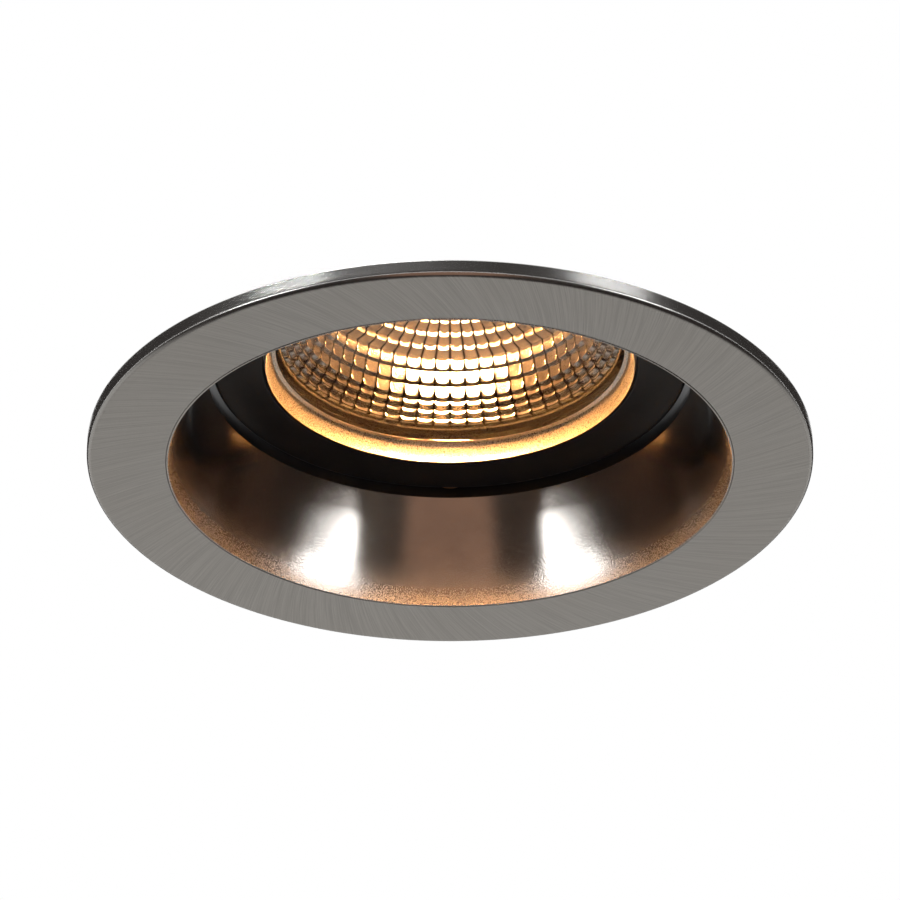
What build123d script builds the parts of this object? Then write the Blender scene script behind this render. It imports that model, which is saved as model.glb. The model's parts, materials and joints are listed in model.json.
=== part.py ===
"""Recessed ceiling spotlight with a deep cone, a tilting LED lamp and two spring clips.

Millimetres, +Z up into the ceiling. The origin is the centre of the ceiling's lower surface,
where the back of the trim ring seats. The lamp tilts about Y, and the clips stand at +X and -X.
"""

import os
from math import ceil, cos, pi, radians, sin, sqrt

from build123d import *

# Trim ring, whose spigot goes through the ceiling's cut-out
flange_radius = 46.0
flange_width = 10.0
flange_thickness = 2.1
flange_edge_fillet = 0.6
bore_edge_chamfer = 0.15
spigot_step = 2.0
spigot_height = 10.9
spigot_wall = 1.5
ledge_thickness = 3.5
ledge_width = 3.4
gasket_inner_land = 0.5
gasket_outer_land = 0.8
gasket_groove_depth = 1.0
gasket_clearance = 0.1

# Reflector cone
cone_taper = 4.7
cone_flare = 0.35
cone_wall = 0.8
cone_mouth_edge = 0.15
cone_skirt_height = 1.6
cone_clearance = 0.05
cone_lip_setback = 0.2

# Carrier ring and the screws that clamp it
carrier_plate = 2.0
carrier_wall = 2.4
carrier_setback = 0.5
screw_count = 4
screw_first_angle = 45.0
screw_radius = 1.0
screw_bite = 2.9
screw_head_radius = 1.7
screw_head_height = 1.2
screw_head_gap = 0.1
screw_edge = 0.2
screw_clearance = 0.1
thread_clearance = 0.05
screw_tip_gap = 0.3
slot_width = 0.5
slot_depth = 0.5

# Tilt pivot
pivot_radius = 1.5
pivot_bearing_clearance = 0.06
pivot_seat_clearance = 0.05
pivot_boss_radius = 3.4
pivot_boss_length = 1.4
pivot_head_radius = 2.3
pivot_head_gap = 0.2
pivot_head_height = 1.6
pivot_bite = 3.0
pivot_tip_gap = 0.3
washer_thickness = 0.7
washer_gap = 0.3
washer_clearance = 0.15

# Spring clips
clip_sheet = 0.8
clip_flat_depth = 1.0
bracket_half_width = 7.4
bracket_foot_gap = 0.2
clip_pin_radius = 1.0
clip_pin_head_radius = 1.5
clip_pin_head_height = 0.6
clip_pin_seat_clearance = 0.03
clip_pin_bearing_clearance = 0.06
clip_eye_radius = 1.9
clip_side_gap = 0.4
clip_rest_angle = 37.0
clip_arm_length = 29.0
clip_arm_corner = 2.0
clip_cheek_sheet = 1.0
clip_cheek_length = 7.5
clip_cheek_heel = 3.5
clip_stop_gap = 0.3
clip_stop_reach = 3.8
clip_pad_length = 7.2
clip_pad_wall = 1.2
clip_pad_clearance = 0.05
clip_pad_fillet = 0.6
rivet_radius = 0.8
rivet_head_radius = 1.0
rivet_head_height = 0.7
rivet_spacing = 8.4
rivet_clearance = 0.05
rivet_tip_gap = 0.1

# Torsion springs of the clips
wire_radius = 0.45
coil_radius = 1.95
coil_pitch = 1.4
coil_turns = 4
spring_clearance = 0.3
spring_fixed_leg = 4.5
spring_moving_leg = 9.0

# Gimbal ring
ring_running_gap = 0.5
ring_drop_gap = 1.1
ring_front_thickness = 2.2
ring_edge_fillet = 0.5
ring_shoulder = 3.4
ring_collar_wall = 2.0
ring_collar_height = 8.5
lip_overhang = 1.2
ring_boss_radius = 3.0
ring_boss_setback = 0.4

# Lamp front: bezel, glass, seal and faceted reflector
lamp_clearance = 0.2
bezel_nose_clearance = 0.25
bezel_front_land = 0.15
bezel_bevel_depth = 2.3
bezel_bevel_width = 1.2
bezel_lip_thickness = 0.25
bezel_wall = 0.8
bezel_skirt_length = 5.5
stack_clearance = 0.05
glass_thickness = 1.3
seal_wall = 0.9
seal_lip_thickness = 0.5
seal_overhang = 0.45
reflector_aperture_radius = 6.0
reflector_depth = 14.05
reflector_bulge = 0.26
reflector_wall = 1.0
reflector_flange = 0.85
facet_columns = 60
facet_rows = 12

# LED and its holder
holder_edge = 0.6
holder_front = 1.45
holder_opening_clearance = 0.7
holder_pocket_clearance = 0.1
holder_screw_wall = 0.95
emitter_radius = 5.5
emitter_thickness = 0.5
board_width = 13.5
board_thickness = 1.0
thermal_pad_margin = 0.25
thermal_pad_thickness = 0.3
holder_screw_radius = 1.25
holder_screw_head_radius = 2.0
holder_screw_head_height = 1.0
holder_screw_bite = 3.0

# Heat sink and wiring
sink_wall = 1.1
sink_base_thickness = 4.0
sink_core_wall = 1.4
fin_count = 20
fin_thickness = 1.5
fin_height = 18.0
fin_taper = 5.1
fin_setback = 0.3
fin_root = 0.5
lead_radius = 0.6
lead_wall = 0.8
lead_well_gap = 0.4
lead_clearance = 0.1
lead_bend_radius = 1.4
lead_rise = 5.0
lead_entry = 1.2
terminal_length = 13.2
terminal_width = 9.0
terminal_height = 10.0
terminal_pitch = 6.6
terminal_offset = 2.2
terminal_screw_radius = 1.1
terminal_screw_length = 5.0
terminal_screw_recess = 1.0
terminal_wire_radius = 1.3
terminal_wire_depth = 6.0
cap_thickness = 2.5
cap_plug_depth = 1.5
cap_plug_wall = 1.5
cap_edge_fillet = 0.8

# Cable gland
gland_bore_radius = 2.7
gland_thread_radius = 3.9
gland_across_flats = 11.0
gland_hex_height = 3.0
gland_dome_radius = 4.6
gland_dome_height = 3.5
gland_dome_fillet = 0.8
gland_clearance = 0.1
gland_thread_end = 0.4
locknut_height = 2.5

# Snap wire that holds the lamp in the gimbal ring
snap_wire_radius = 0.6
snap_seat = 0.45
snap_clearance = 0.1
snap_gap_angle = 24.0
snap_bend_radius = 1.2
snap_tab_height = 4.5
snap_notch_half_width = 8.0

# Radii and levels of the housing that follow from those sizes
face_z = -flange_thickness
bore_radius = flange_radius - flange_width
skirt_radius = bore_radius - cone_clearance
cone_mouth_radius = skirt_radius - cone_mouth_edge
cone_throat_radius = cone_mouth_radius - cone_taper
ring_radius = cone_throat_radius - ring_running_gap
carrier_bore = ring_radius + washer_thickness + washer_gap
carrier_radius = carrier_bore + carrier_wall
spigot_radius = max(
    bore_radius + spigot_step + spigot_wall,
    carrier_radius + screw_head_gap + 2 * screw_head_radius + screw_edge,
)
spigot_inner_radius = spigot_radius - spigot_wall
ledge_radius = spigot_radius - ledge_width
groove_outer_radius = flange_radius - gasket_outer_land
groove_inner_radius = spigot_radius + gasket_inner_land
throat_z = spigot_height + cone_wall
cone_lip_radius = spigot_radius - cone_lip_setback
plate_z = throat_z + carrier_plate
screw_circle = spigot_radius - screw_head_radius - screw_edge
screw_turns = [radians(screw_first_angle + 360 * n / screw_count) for n in range(screw_count)]
screw_points = [(screw_circle * cos(turn), screw_circle * sin(turn)) for turn in screw_turns]

# Gimbal ring and tilt pivot
ring_front_z = throat_z + ring_drop_gap
ring_back_z = ring_front_z + ring_front_thickness
collar_radius = ring_radius - ring_shoulder
collar_bore = collar_radius - ring_collar_wall
lamp_radius = collar_bore - lamp_clearance
collar_top_z = ring_back_z + ring_collar_height
lip_bore = collar_bore - lip_overhang
pivot_z = max(
    ring_front_z + ring_boss_radius + ring_boss_setback,
    plate_z + pivot_head_radius + pivot_head_gap,
)
carrier_middle = carrier_bore + carrier_wall / 2
boss_end = carrier_radius + pivot_boss_length

# Clips: a pin, its bracket on a flat of the carrier, and the arm's own plane
flat_x = carrier_radius - clip_flat_depth
back_plate_x = flat_x + clip_sheet
clip_pin_x = back_plate_x + spring_clearance + wire_radius + coil_radius
ear_inner_y = bracket_half_width - clip_sheet
cheek_outer_y = ear_inner_y - clip_side_gap
rest_angle = radians(clip_rest_angle)
rivet_z = plate_z + bracket_foot_gap + rivet_head_radius
stop_z = rivet_z + rivet_head_radius + rivet_tip_gap
stop_x = back_plate_x + clip_stop_reach
heel_drop = (clip_eye_radius + (stop_x - clip_pin_x) * sin(rest_angle)) / cos(rest_angle)
clip_pin_z = stop_z + clip_sheet + clip_stop_gap + heel_drop
web_top = coil_radius - wire_radius - spring_clearance
web_bottom = web_top - clip_sheet
web_start = coil_radius + wire_radius + spring_clearance
barrel_top_z = clip_pin_z + web_top
clip_plane = Plane(
    origin=(clip_pin_x, 0, clip_pin_z),
    x_dir=(cos(rest_angle), 0, -sin(rest_angle)),
    z_dir=(0, -1, 0),
)

# Lamp stack, from the bezel up to the gland
bezel_nose_radius = lip_bore - bezel_nose_clearance
bevel_radius = bezel_nose_radius - bezel_front_land
bezel_bore_radius = bevel_radius - bezel_bevel_width
seal_bore_radius = bezel_bore_radius - seal_overhang
reflector_mouth_radius = seal_bore_radius - stack_clearance
bevel_top_z = ring_front_z + bezel_bevel_depth
glass_z = bevel_top_z + bezel_lip_thickness
seal_z = glass_z + glass_thickness
mouth_z = seal_z + seal_lip_thickness
sink_front_z = mouth_z + reflector_flange
aperture_z = mouth_z + reflector_depth
skirt_top_z = ring_back_z + bezel_skirt_length
skirt_bore = lamp_radius - bezel_wall
seal_radius = skirt_bore - stack_clearance
glass_radius = seal_radius - seal_wall - stack_clearance
sink_radius = skirt_bore - 2 * stack_clearance
pocket_z = aperture_z + holder_front
board_z = pocket_z + stack_clearance
thermal_z = board_z + board_thickness
base_z = thermal_z + thermal_pad_thickness
base_top_z = base_z + sink_base_thickness
sink_top_z = base_top_z + fin_height
fin_top_radius = sink_radius - fin_taper
thermal_pad_width = board_width + 2 * thermal_pad_margin
pocket_width = thermal_pad_width + 2 * holder_pocket_clearance
holder_screw_x = pocket_width / 2 + holder_screw_wall + screw_clearance + holder_screw_radius
holder_radius = holder_screw_x + holder_screw_head_radius + holder_edge
holder_opening_radius = emitter_radius + holder_opening_clearance
lead_y = pocket_width / 2 + lead_wall + lead_clearance + lead_radius
well_radius = lead_y + lead_radius + lead_well_gap
sink_core_radius = well_radius + sink_core_wall
lead_bend_z = base_top_z + lead_rise
terminal_top_z = base_top_z + terminal_height
cap_top_z = sink_top_z + cap_thickness
gland_hex_z = cap_top_z + gland_hex_height
gland_top_z = gland_hex_z + gland_dome_height
locknut_z = sink_top_z - locknut_height
gland_end_z = locknut_z - gland_thread_end
snap_radius = collar_bore + snap_seat - snap_wire_radius
snap_z = skirt_top_z + stack_clearance + snap_wire_radius

holder_screw_points = [(-holder_screw_x, 0), (holder_screw_x, 0)]
lead_points = [(0, -lead_y), (0, lead_y)]
terminal_screw_points = [(terminal_offset, side * terminal_pitch / 2) for side in (-1, 1)]
terminal_wire_points = [(-terminal_offset, side * terminal_pitch / 2) for side in (-1, 1)]


def save(builder, node):
    """Label a finished piece and write its file."""
    builder.part.label = node
    export_step(builder.part, f"parts/{node}.step")


def save_pair(right, name):
    """Write a clip piece at +X, and the same piece turned half round to -X."""
    save(right, f"{name}_right")
    with BuildPart() as left:
        add(right.part, rotation=(0, 0, 180))
    save(left, f"{name}_left")


def round_edges(builder, z):
    """The round edges of a turned piece at height z, smallest first."""
    level = builder.edges().filter_by(GeomType.CIRCLE).filter_by_position(Axis.Z, z, z)
    return level.sort_by(SortBy.RADIUS)


def coil_point(turn):
    """Centre of the spring wire after it has turned by an angle about the clip pin."""
    start_y = -coil_pitch * coil_sweep / (4 * pi)
    return Vector(
        clip_pin_x + coil_radius * sin(turn),
        start_y + coil_pitch * turn / (2 * pi),
        clip_pin_z + coil_radius * cos(turn),
    )


def coil_direction(turn):
    """Direction of the spring wire at that angle."""
    return Vector(coil_radius * cos(turn), coil_pitch / (2 * pi), -coil_radius * sin(turn)).normalized()


def biarc_joint(start, start_dir, end, end_dir):
    """Where two tangent arcs meet between two points with given directions."""
    chord = end - start
    along = chord.dot(start_dir + end_dir)
    bend = 2 * (1 - start_dir.dot(end_dir))
    reach = (sqrt(along**2 + bend * chord.dot(chord)) - along) / bend
    return (start + end + (start_dir - end_dir) * reach) * 0.5


def reflector_row(share):
    """Radius and height of the reflector's inside, from its mouth at 0 to its aperture at 1."""
    radius = reflector_mouth_radius + (reflector_aperture_radius - reflector_mouth_radius) * share
    return radius, mouth_z + reflector_depth * (share + reflector_bulge * share * (1 - share))


os.makedirs("parts", exist_ok=True)

# Trim ring: brushed flange, gasket groove and the spigot that enters the ceiling
with BuildPart() as trim_ring:
    with BuildSketch(Plane.XZ):
        with BuildLine():
            Polyline(
                (bore_radius, face_z),
                (flange_radius, face_z),
                (flange_radius, 0),
                (groove_outer_radius, 0),
                (groove_outer_radius, -gasket_groove_depth),
                (groove_inner_radius, -gasket_groove_depth),
                (groove_inner_radius, 0),
                (spigot_radius, 0),
                (spigot_radius, spigot_height),
                (ledge_radius, spigot_height),
                (ledge_radius, spigot_height - ledge_thickness),
                (spigot_inner_radius, spigot_height - ledge_thickness),
                (spigot_inner_radius, 0),
                (bore_radius, 0),
                close=True,
            )
        make_face()
    revolve(axis=Axis.Z)
    fillet(round_edges(trim_ring, face_z)[-1], radius=flange_edge_fillet)
    chamfer(round_edges(trim_ring, face_z)[0], length=bore_edge_chamfer)
    with BuildSketch(Plane.XY.offset(spigot_height)):
        with Locations(*screw_points):
            Circle(screw_radius + thread_clearance)
    extrude(amount=-(screw_bite + screw_tip_gap), mode=Mode.SUBTRACT)
save(trim_ring, "trim_ring")

with BuildPart() as ceiling_gasket:
    with BuildSketch(Plane.XY.offset(-gasket_groove_depth)):
        Circle(groove_outer_radius - gasket_clearance)
        Circle(groove_inner_radius + gasket_clearance, mode=Mode.SUBTRACT)
    extrude(amount=gasket_groove_depth)
save(ceiling_gasket, "ceiling_gasket")

# Reflector cone: flared shell whose top lip is clamped on the spigot's ledge
with BuildPart() as reflector_cone:
    half_way = ((cone_mouth_radius + cone_throat_radius) / 2 - cone_flare, (face_z + throat_z) / 2)
    with BuildSketch(Plane.XZ):
        with BuildLine():
            ThreePointArc((cone_mouth_radius, face_z), half_way, (cone_throat_radius, throat_z))
            Polyline(
                (cone_throat_radius, throat_z),
                (cone_lip_radius, throat_z),
                (cone_lip_radius, spigot_height),
                (cone_throat_radius + cone_wall, spigot_height),
                (skirt_radius, face_z + cone_skirt_height),
                (skirt_radius, face_z),
                (cone_mouth_radius, face_z),
            )
        make_face()
    revolve(axis=Axis.Z)
    with BuildSketch(Plane.XY.offset(throat_z)):
        with Locations(*screw_points):
            Circle(screw_radius + screw_clearance)
    extrude(amount=-cone_wall, mode=Mode.SUBTRACT)
save(reflector_cone, "reflector_cone")

# Carrier ring: screwed down on the cone's lip, it carries the tilt pivots and the clip brackets
with BuildPart() as carrier_ring:
    with BuildSketch(Plane.XY.offset(throat_z)):
        Circle(spigot_radius - carrier_setback)
        Circle(carrier_bore, mode=Mode.SUBTRACT)
        with Locations(*screw_points):
            Circle(screw_radius + screw_clearance, mode=Mode.SUBTRACT)
    extrude(amount=carrier_plate)
    with BuildSketch(Plane.XY.offset(plate_z)):
        Circle(carrier_radius)
        Rectangle(2 * flat_x, 2 * carrier_radius, mode=Mode.INTERSECT)
        Circle(carrier_bore, mode=Mode.SUBTRACT)
    extrude(amount=barrel_top_z - plate_z)
    for side in (-1, 1):
        with BuildSketch(Plane.XZ.offset(side * boss_end)):
            with Locations((0, pivot_z)):
                Circle(pivot_boss_radius)
        extrude(amount=-side * (boss_end - carrier_middle))
    with BuildSketch(Plane.XZ):
        with Locations((0, pivot_z)):
            Circle(pivot_radius + pivot_seat_clearance)
    extrude(amount=boss_end, both=True, mode=Mode.SUBTRACT)
    with BuildSketch(Plane.YZ):
        with Locations((-rivet_spacing / 2, rivet_z), (rivet_spacing / 2, rivet_z)):
            Circle(rivet_radius + rivet_clearance)
    extrude(amount=flat_x, both=True, mode=Mode.SUBTRACT)
save(carrier_ring, "carrier_ring")

with BuildPart() as carrier_screws:
    with BuildSketch(Plane.XY.offset(spigot_height - screw_bite)):
        with Locations(*screw_points):
            Circle(screw_radius)
    extrude(amount=plate_z - spigot_height + screw_bite)
    with BuildSketch(Plane.XY.offset(plate_z)):
        with Locations(*screw_points):
            Circle(screw_head_radius)
    extrude(amount=screw_head_height)
    with BuildSketch(Plane.XY.offset(plate_z + screw_head_height)):
        with Locations(*screw_points):
            Rectangle(2 * screw_head_radius, slot_width)
    extrude(amount=-slot_depth, mode=Mode.SUBTRACT)
save(carrier_screws, "carrier_screws")

# Pivot screws: fixed in the carrier, they are the axle on which the gimbal ring tilts
with BuildPart() as pivot_screws:
    for side in (-1, 1):
        with BuildSketch(Plane.XZ.offset(side * boss_end)):
            with Locations((0, pivot_z)):
                Circle(pivot_radius)
        extrude(amount=-side * (boss_end - ring_radius + pivot_bite))
        with BuildSketch(Plane.XZ.offset(side * boss_end)):
            with Locations((0, pivot_z)):
                Circle(pivot_head_radius)
        extrude(amount=side * pivot_head_height)
        with BuildSketch(Plane.XZ.offset(side * (boss_end + pivot_head_height))):
            with Locations((0, pivot_z)):
                Rectangle(2 * pivot_head_radius, slot_width)
        extrude(amount=-side * slot_depth, mode=Mode.SUBTRACT)
save(pivot_screws, "pivot_screws")

# Clip bracket: folded sheet with a back plate, two ears and a stop lip under the arm
with BuildPart() as clip_bracket:
    with BuildSketch(Plane.YZ.offset(flat_x)):
        with BuildLine():
            Polyline(
                (-bracket_half_width, plate_z + bracket_foot_gap),
                (bracket_half_width, plate_z + bracket_foot_gap),
                (bracket_half_width, barrel_top_z),
                (-bracket_half_width, barrel_top_z),
                close=True,
            )
        make_face()
        with Locations((-rivet_spacing / 2, rivet_z), (rivet_spacing / 2, rivet_z)):
            Circle(rivet_radius + rivet_clearance, mode=Mode.SUBTRACT)
    extrude(amount=clip_sheet)
    with BuildSketch(Plane.XZ):
        with BuildLine():
            Polyline(
                (flat_x, stop_z),
                (stop_x, stop_z),
                (stop_x, stop_z + clip_sheet),
                (flat_x, stop_z + clip_sheet),
                close=True,
            )
        make_face()
    extrude(amount=bracket_half_width, both=True)
    for side in (-1, 1):
        with BuildSketch(Plane.XZ.offset(side * bracket_half_width)):
            with BuildLine():
                Polyline(
                    (flat_x, stop_z),
                    (stop_x, stop_z),
                    (clip_pin_x + clip_eye_radius, clip_pin_z),
                    (clip_pin_x, clip_pin_z + clip_eye_radius),
                    (back_plate_x, barrel_top_z),
                    (flat_x, barrel_top_z),
                    close=True,
                )
            make_face()
            with Locations((clip_pin_x, clip_pin_z)):
                Circle(clip_eye_radius)
                Circle(clip_pin_radius + clip_pin_seat_clearance, mode=Mode.SUBTRACT)
        extrude(amount=-side * clip_sheet)
save_pair(clip_bracket, "clip_bracket")

with BuildPart() as bracket_rivets:
    for side in (-1, 1):
        rivet_points = [(side_y * rivet_spacing / 2, rivet_z) for side_y in (-1, 1)]
        with BuildSketch(Plane.YZ.offset(side * back_plate_x)):
            with Locations(*rivet_points):
                Circle(rivet_radius)
        extrude(amount=-side * (back_plate_x - carrier_bore - rivet_tip_gap))
        with BuildSketch(Plane.YZ.offset(side * back_plate_x)):
            with Locations(*rivet_points):
                Circle(rivet_head_radius)
        extrude(amount=side * rivet_head_height)
save(bracket_rivets, "bracket_rivets")

with BuildPart() as clip_pin:
    with BuildSketch(Plane.XZ):
        with Locations((clip_pin_x, clip_pin_z)):
            Circle(clip_pin_radius)
    extrude(amount=bracket_half_width, both=True)
    for side in (-1, 1):
        with BuildSketch(Plane.XZ.offset(side * bracket_half_width)):
            with Locations((clip_pin_x, clip_pin_z)):
                Circle(clip_pin_head_radius)
        extrude(amount=side * clip_pin_head_height)
save_pair(clip_pin, "clip_pin")

# Clip arm: a flat web between two cheeks that turn on the pin
with BuildPart() as clip_arm:
    with BuildSketch(clip_plane):
        with BuildLine():
            Polyline(
                (web_start, web_bottom),
                (clip_arm_length, web_bottom),
                (clip_arm_length, web_top),
                (web_start, web_top),
                close=True,
            )
        make_face()
    extrude(amount=cheek_outer_y, both=True)
    tip_corners = clip_arm.edges().filter_by(Axis((0, 0, 0), clip_plane.y_dir))
    along_arm = Axis(clip_plane.origin, clip_plane.x_dir)
    fillet(tip_corners.sort_by(along_arm)[-2:], radius=clip_arm_corner)
    for side in (-1, 1):
        with BuildSketch(clip_plane.offset(side * cheek_outer_y)):
            with BuildLine():
                Polyline(
                    (0, -clip_eye_radius),
                    (clip_cheek_heel, -clip_eye_radius),
                    (clip_cheek_length, web_bottom),
                    (clip_cheek_length, web_top),
                    (0, web_top),
                    close=True,
                )
            make_face()
            Circle(clip_eye_radius)
            Circle(clip_pin_radius + clip_pin_bearing_clearance, mode=Mode.SUBTRACT)
        extrude(amount=-side * clip_cheek_sheet)
save_pair(clip_arm, "clip_arm")

# Clip pad: soft sleeve on the arm's tip, the face that presses on the ceiling board
with BuildPart() as clip_pad:
    pad_end = clip_arm_length + clip_pad_wall
    pad_start = pad_end - clip_pad_length
    with BuildSketch(clip_plane):
        with BuildLine():
            Polyline(
                (pad_start, web_bottom - clip_pad_wall),
                (pad_end, web_bottom - clip_pad_wall),
                (pad_end, web_top + clip_pad_wall),
                (pad_start, web_top + clip_pad_wall),
                close=True,
            )
        make_face()
    extrude(amount=cheek_outer_y + clip_pad_wall, both=True)
    fillet(clip_pad.edges().filter_by(Axis.Y), radius=clip_pad_fillet)
    with BuildSketch(clip_plane):
        with BuildLine():
            Polyline(
                (pad_start, web_bottom - clip_pad_clearance),
                (clip_arm_length + clip_pad_clearance, web_bottom - clip_pad_clearance),
                (clip_arm_length + clip_pad_clearance, web_top + clip_pad_clearance),
                (pad_start, web_top + clip_pad_clearance),
                close=True,
            )
        make_face()
    extrude(amount=cheek_outer_y + clip_pad_clearance, both=True, mode=Mode.SUBTRACT)
save_pair(clip_pad, "clip_pad")

# Torsion spring: one wire from the leg on the bracket, round the pin, to the leg on the arm
coil_sweep = 2 * pi * coil_turns + rest_angle
quarter_turns = ceil(coil_sweep / (pi / 2))
coil_stops = [coil_sweep * n / quarter_turns for n in range(quarter_turns + 1)]
leg_start = coil_point(0) - coil_direction(0) * spring_fixed_leg
leg_end = coil_point(coil_sweep) + coil_direction(coil_sweep) * spring_moving_leg
with BuildPart() as clip_spring:
    with BuildLine() as spring_path:
        Line(leg_start, coil_point(0))
        for turn, next_turn in zip(coil_stops, coil_stops[1:]):
            joint = biarc_joint(
                coil_point(turn), coil_direction(turn), coil_point(next_turn), coil_direction(next_turn)
            )
            first = TangentArc(coil_point(turn), joint, tangent=coil_direction(turn))
            TangentArc(joint, coil_point(next_turn), tangent=first % 1)
        Line(coil_point(coil_sweep), leg_end)
    with BuildSketch(Plane(origin=leg_start, z_dir=coil_direction(0))):
        Circle(wire_radius)
    sweep()
save_pair(clip_spring, "clip_spring")

# Least gap of the spring wire to itself, on points a fortieth of a turn apart
wire_step = 2 * pi * coil_radius / 40
coil_samples = 40 * coil_turns
wire_points = [leg_start + coil_direction(0) * wire_step * n for n in range(int(spring_fixed_leg / wire_step))]
wire_points += [coil_point(coil_sweep * n / coil_samples) for n in range(coil_samples)]
wire_points += [
    coil_point(coil_sweep) + coil_direction(coil_sweep) * wire_step * n
    for n in range(int(spring_moving_leg / wire_step))
]
half_turn = 20
wire_spans = [(a - b).length for n, a in enumerate(wire_points) for b in wire_points[n + half_turn :]]
print(f"clip spring: least gap to itself {min(wire_spans) - 2 * wire_radius:.2f} mm")

# Gimbal ring: black front ring, collar round the lamp, and a pivot boss on each side
with BuildPart() as gimbal_ring:
    groove_radius = snap_radius + snap_wire_radius + snap_clearance
    groove_bottom_z = snap_z - snap_wire_radius - snap_clearance
    groove_top_z = snap_z + snap_wire_radius + snap_clearance
    with BuildSketch(Plane.XZ):
        with BuildLine():
            Polyline(
                (lip_bore, ring_front_z),
                (ring_radius, ring_front_z),
                (ring_radius, ring_back_z),
                (collar_radius, ring_back_z),
                (collar_radius, collar_top_z),
                (collar_bore, collar_top_z),
                (collar_bore, groove_top_z),
                (groove_radius, groove_top_z),
                (groove_radius, groove_bottom_z),
                (collar_bore, groove_bottom_z),
                (collar_bore, ring_back_z),
                (lip_bore, ring_back_z),
                close=True,
            )
        make_face()
    revolve(axis=Axis.Z)
    fillet(round_edges(gimbal_ring, ring_front_z)[-1], radius=ring_edge_fillet)
    for side in (-1, 1):
        with BuildSketch(Plane.XZ.offset(side * ring_radius)):
            with Locations((0, pivot_z)):
                Circle(ring_boss_radius)
        extrude(amount=-side * (ring_radius - collar_bore - ring_collar_wall / 2))
        with BuildSketch(Plane.XZ.offset(side * ring_radius)):
            with Locations((0, pivot_z)):
                Circle(pivot_radius + pivot_bearing_clearance)
        extrude(amount=-side * (pivot_bite + pivot_tip_gap), mode=Mode.SUBTRACT)
    with BuildSketch(Plane.XY.offset(groove_bottom_z)):
        with Locations((collar_radius, 0)):
            Rectangle(4 * ring_collar_wall, 2 * snap_notch_half_width)
    extrude(amount=collar_top_z - groove_bottom_z, mode=Mode.SUBTRACT)
save(gimbal_ring, "gimbal_ring")

with BuildPart() as friction_washers:
    for side in (-1, 1):
        with BuildSketch(Plane.XZ.offset(side * ring_radius)):
            with Locations((0, pivot_z)):
                Circle(ring_boss_radius)
                Circle(pivot_radius + washer_clearance, mode=Mode.SUBTRACT)
        extrude(amount=side * washer_thickness)
save(friction_washers, "friction_washers")

# Lamp bezel: bevelled nose through the ring's lip, and a skirt screwed on the heat sink
with BuildPart() as lamp_bezel:
    with BuildSketch(Plane.XZ):
        with BuildLine():
            Polyline(
                (bevel_radius, ring_front_z),
                (bezel_nose_radius, ring_front_z),
                (bezel_nose_radius, ring_back_z),
                (lamp_radius, ring_back_z),
                (lamp_radius, skirt_top_z),
                (skirt_bore, skirt_top_z),
                (skirt_bore, glass_z),
                (bezel_bore_radius, glass_z),
                (bezel_bore_radius, bevel_top_z),
                close=True,
            )
        make_face()
    revolve(axis=Axis.Z)
save(lamp_bezel, "lamp_bezel")

with BuildPart() as front_glass:
    with BuildSketch(Plane.XY.offset(glass_z)):
        Circle(glass_radius)
    extrude(amount=glass_thickness)
save(front_glass, "front_glass")

with BuildPart() as glass_seal:
    with BuildSketch(Plane.XY.offset(glass_z)):
        Circle(seal_radius)
        Circle(glass_radius + stack_clearance, mode=Mode.SUBTRACT)
    extrude(amount=glass_thickness)
    with BuildSketch(Plane.XY.offset(seal_z)):
        Circle(seal_radius)
        Circle(seal_bore_radius, mode=Mode.SUBTRACT)
    extrude(amount=seal_lip_thickness)
save(glass_seal, "glass_seal")

# Lamp reflector: bowl with flat facets inside, clamped by its mouth flange
with BuildPart() as lamp_reflector:
    waist_radius, waist_z = reflector_row(0.5)
    with BuildSketch(Plane.XZ):
        with BuildLine():
            Polyline(
                (reflector_aperture_radius + reflector_wall, aperture_z),
                (0, aperture_z),
                (0, mouth_z),
                (sink_radius, mouth_z),
                (sink_radius, sink_front_z),
                (reflector_mouth_radius + reflector_wall, sink_front_z),
            )
            ThreePointArc(
                (reflector_mouth_radius + reflector_wall, sink_front_z),
                (waist_radius + reflector_wall, waist_z + reflector_wall / 2),
                (reflector_aperture_radius + reflector_wall, aperture_z),
            )
        make_face()
    revolve(axis=Axis.Z)
    for row in range(facet_rows + 1):
        row_radius, row_z = reflector_row(row / facet_rows)
        with BuildSketch(Plane.XY.offset(row_z)):
            RegularPolygon(row_radius, facet_columns)
    loft(ruled=True, mode=Mode.SUBTRACT)
save(lamp_reflector, "lamp_reflector")

# LED: lit disc on its board, on a thermal pad, held down by a screwed holder
with BuildPart() as led_emitter:
    with BuildSketch(Plane.XY.offset(board_z)):
        Circle(emitter_radius)
    extrude(amount=-emitter_thickness)
save(led_emitter, "led_emitter")

with BuildPart() as led_board:
    with BuildSketch(Plane.XY.offset(board_z)):
        Rectangle(board_width, board_width)
    extrude(amount=board_thickness)
save(led_board, "led_board")

with BuildPart() as thermal_pad:
    with BuildSketch(Plane.XY.offset(thermal_z)):
        Rectangle(thermal_pad_width, thermal_pad_width)
    extrude(amount=thermal_pad_thickness)
save(thermal_pad, "thermal_pad")

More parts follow.
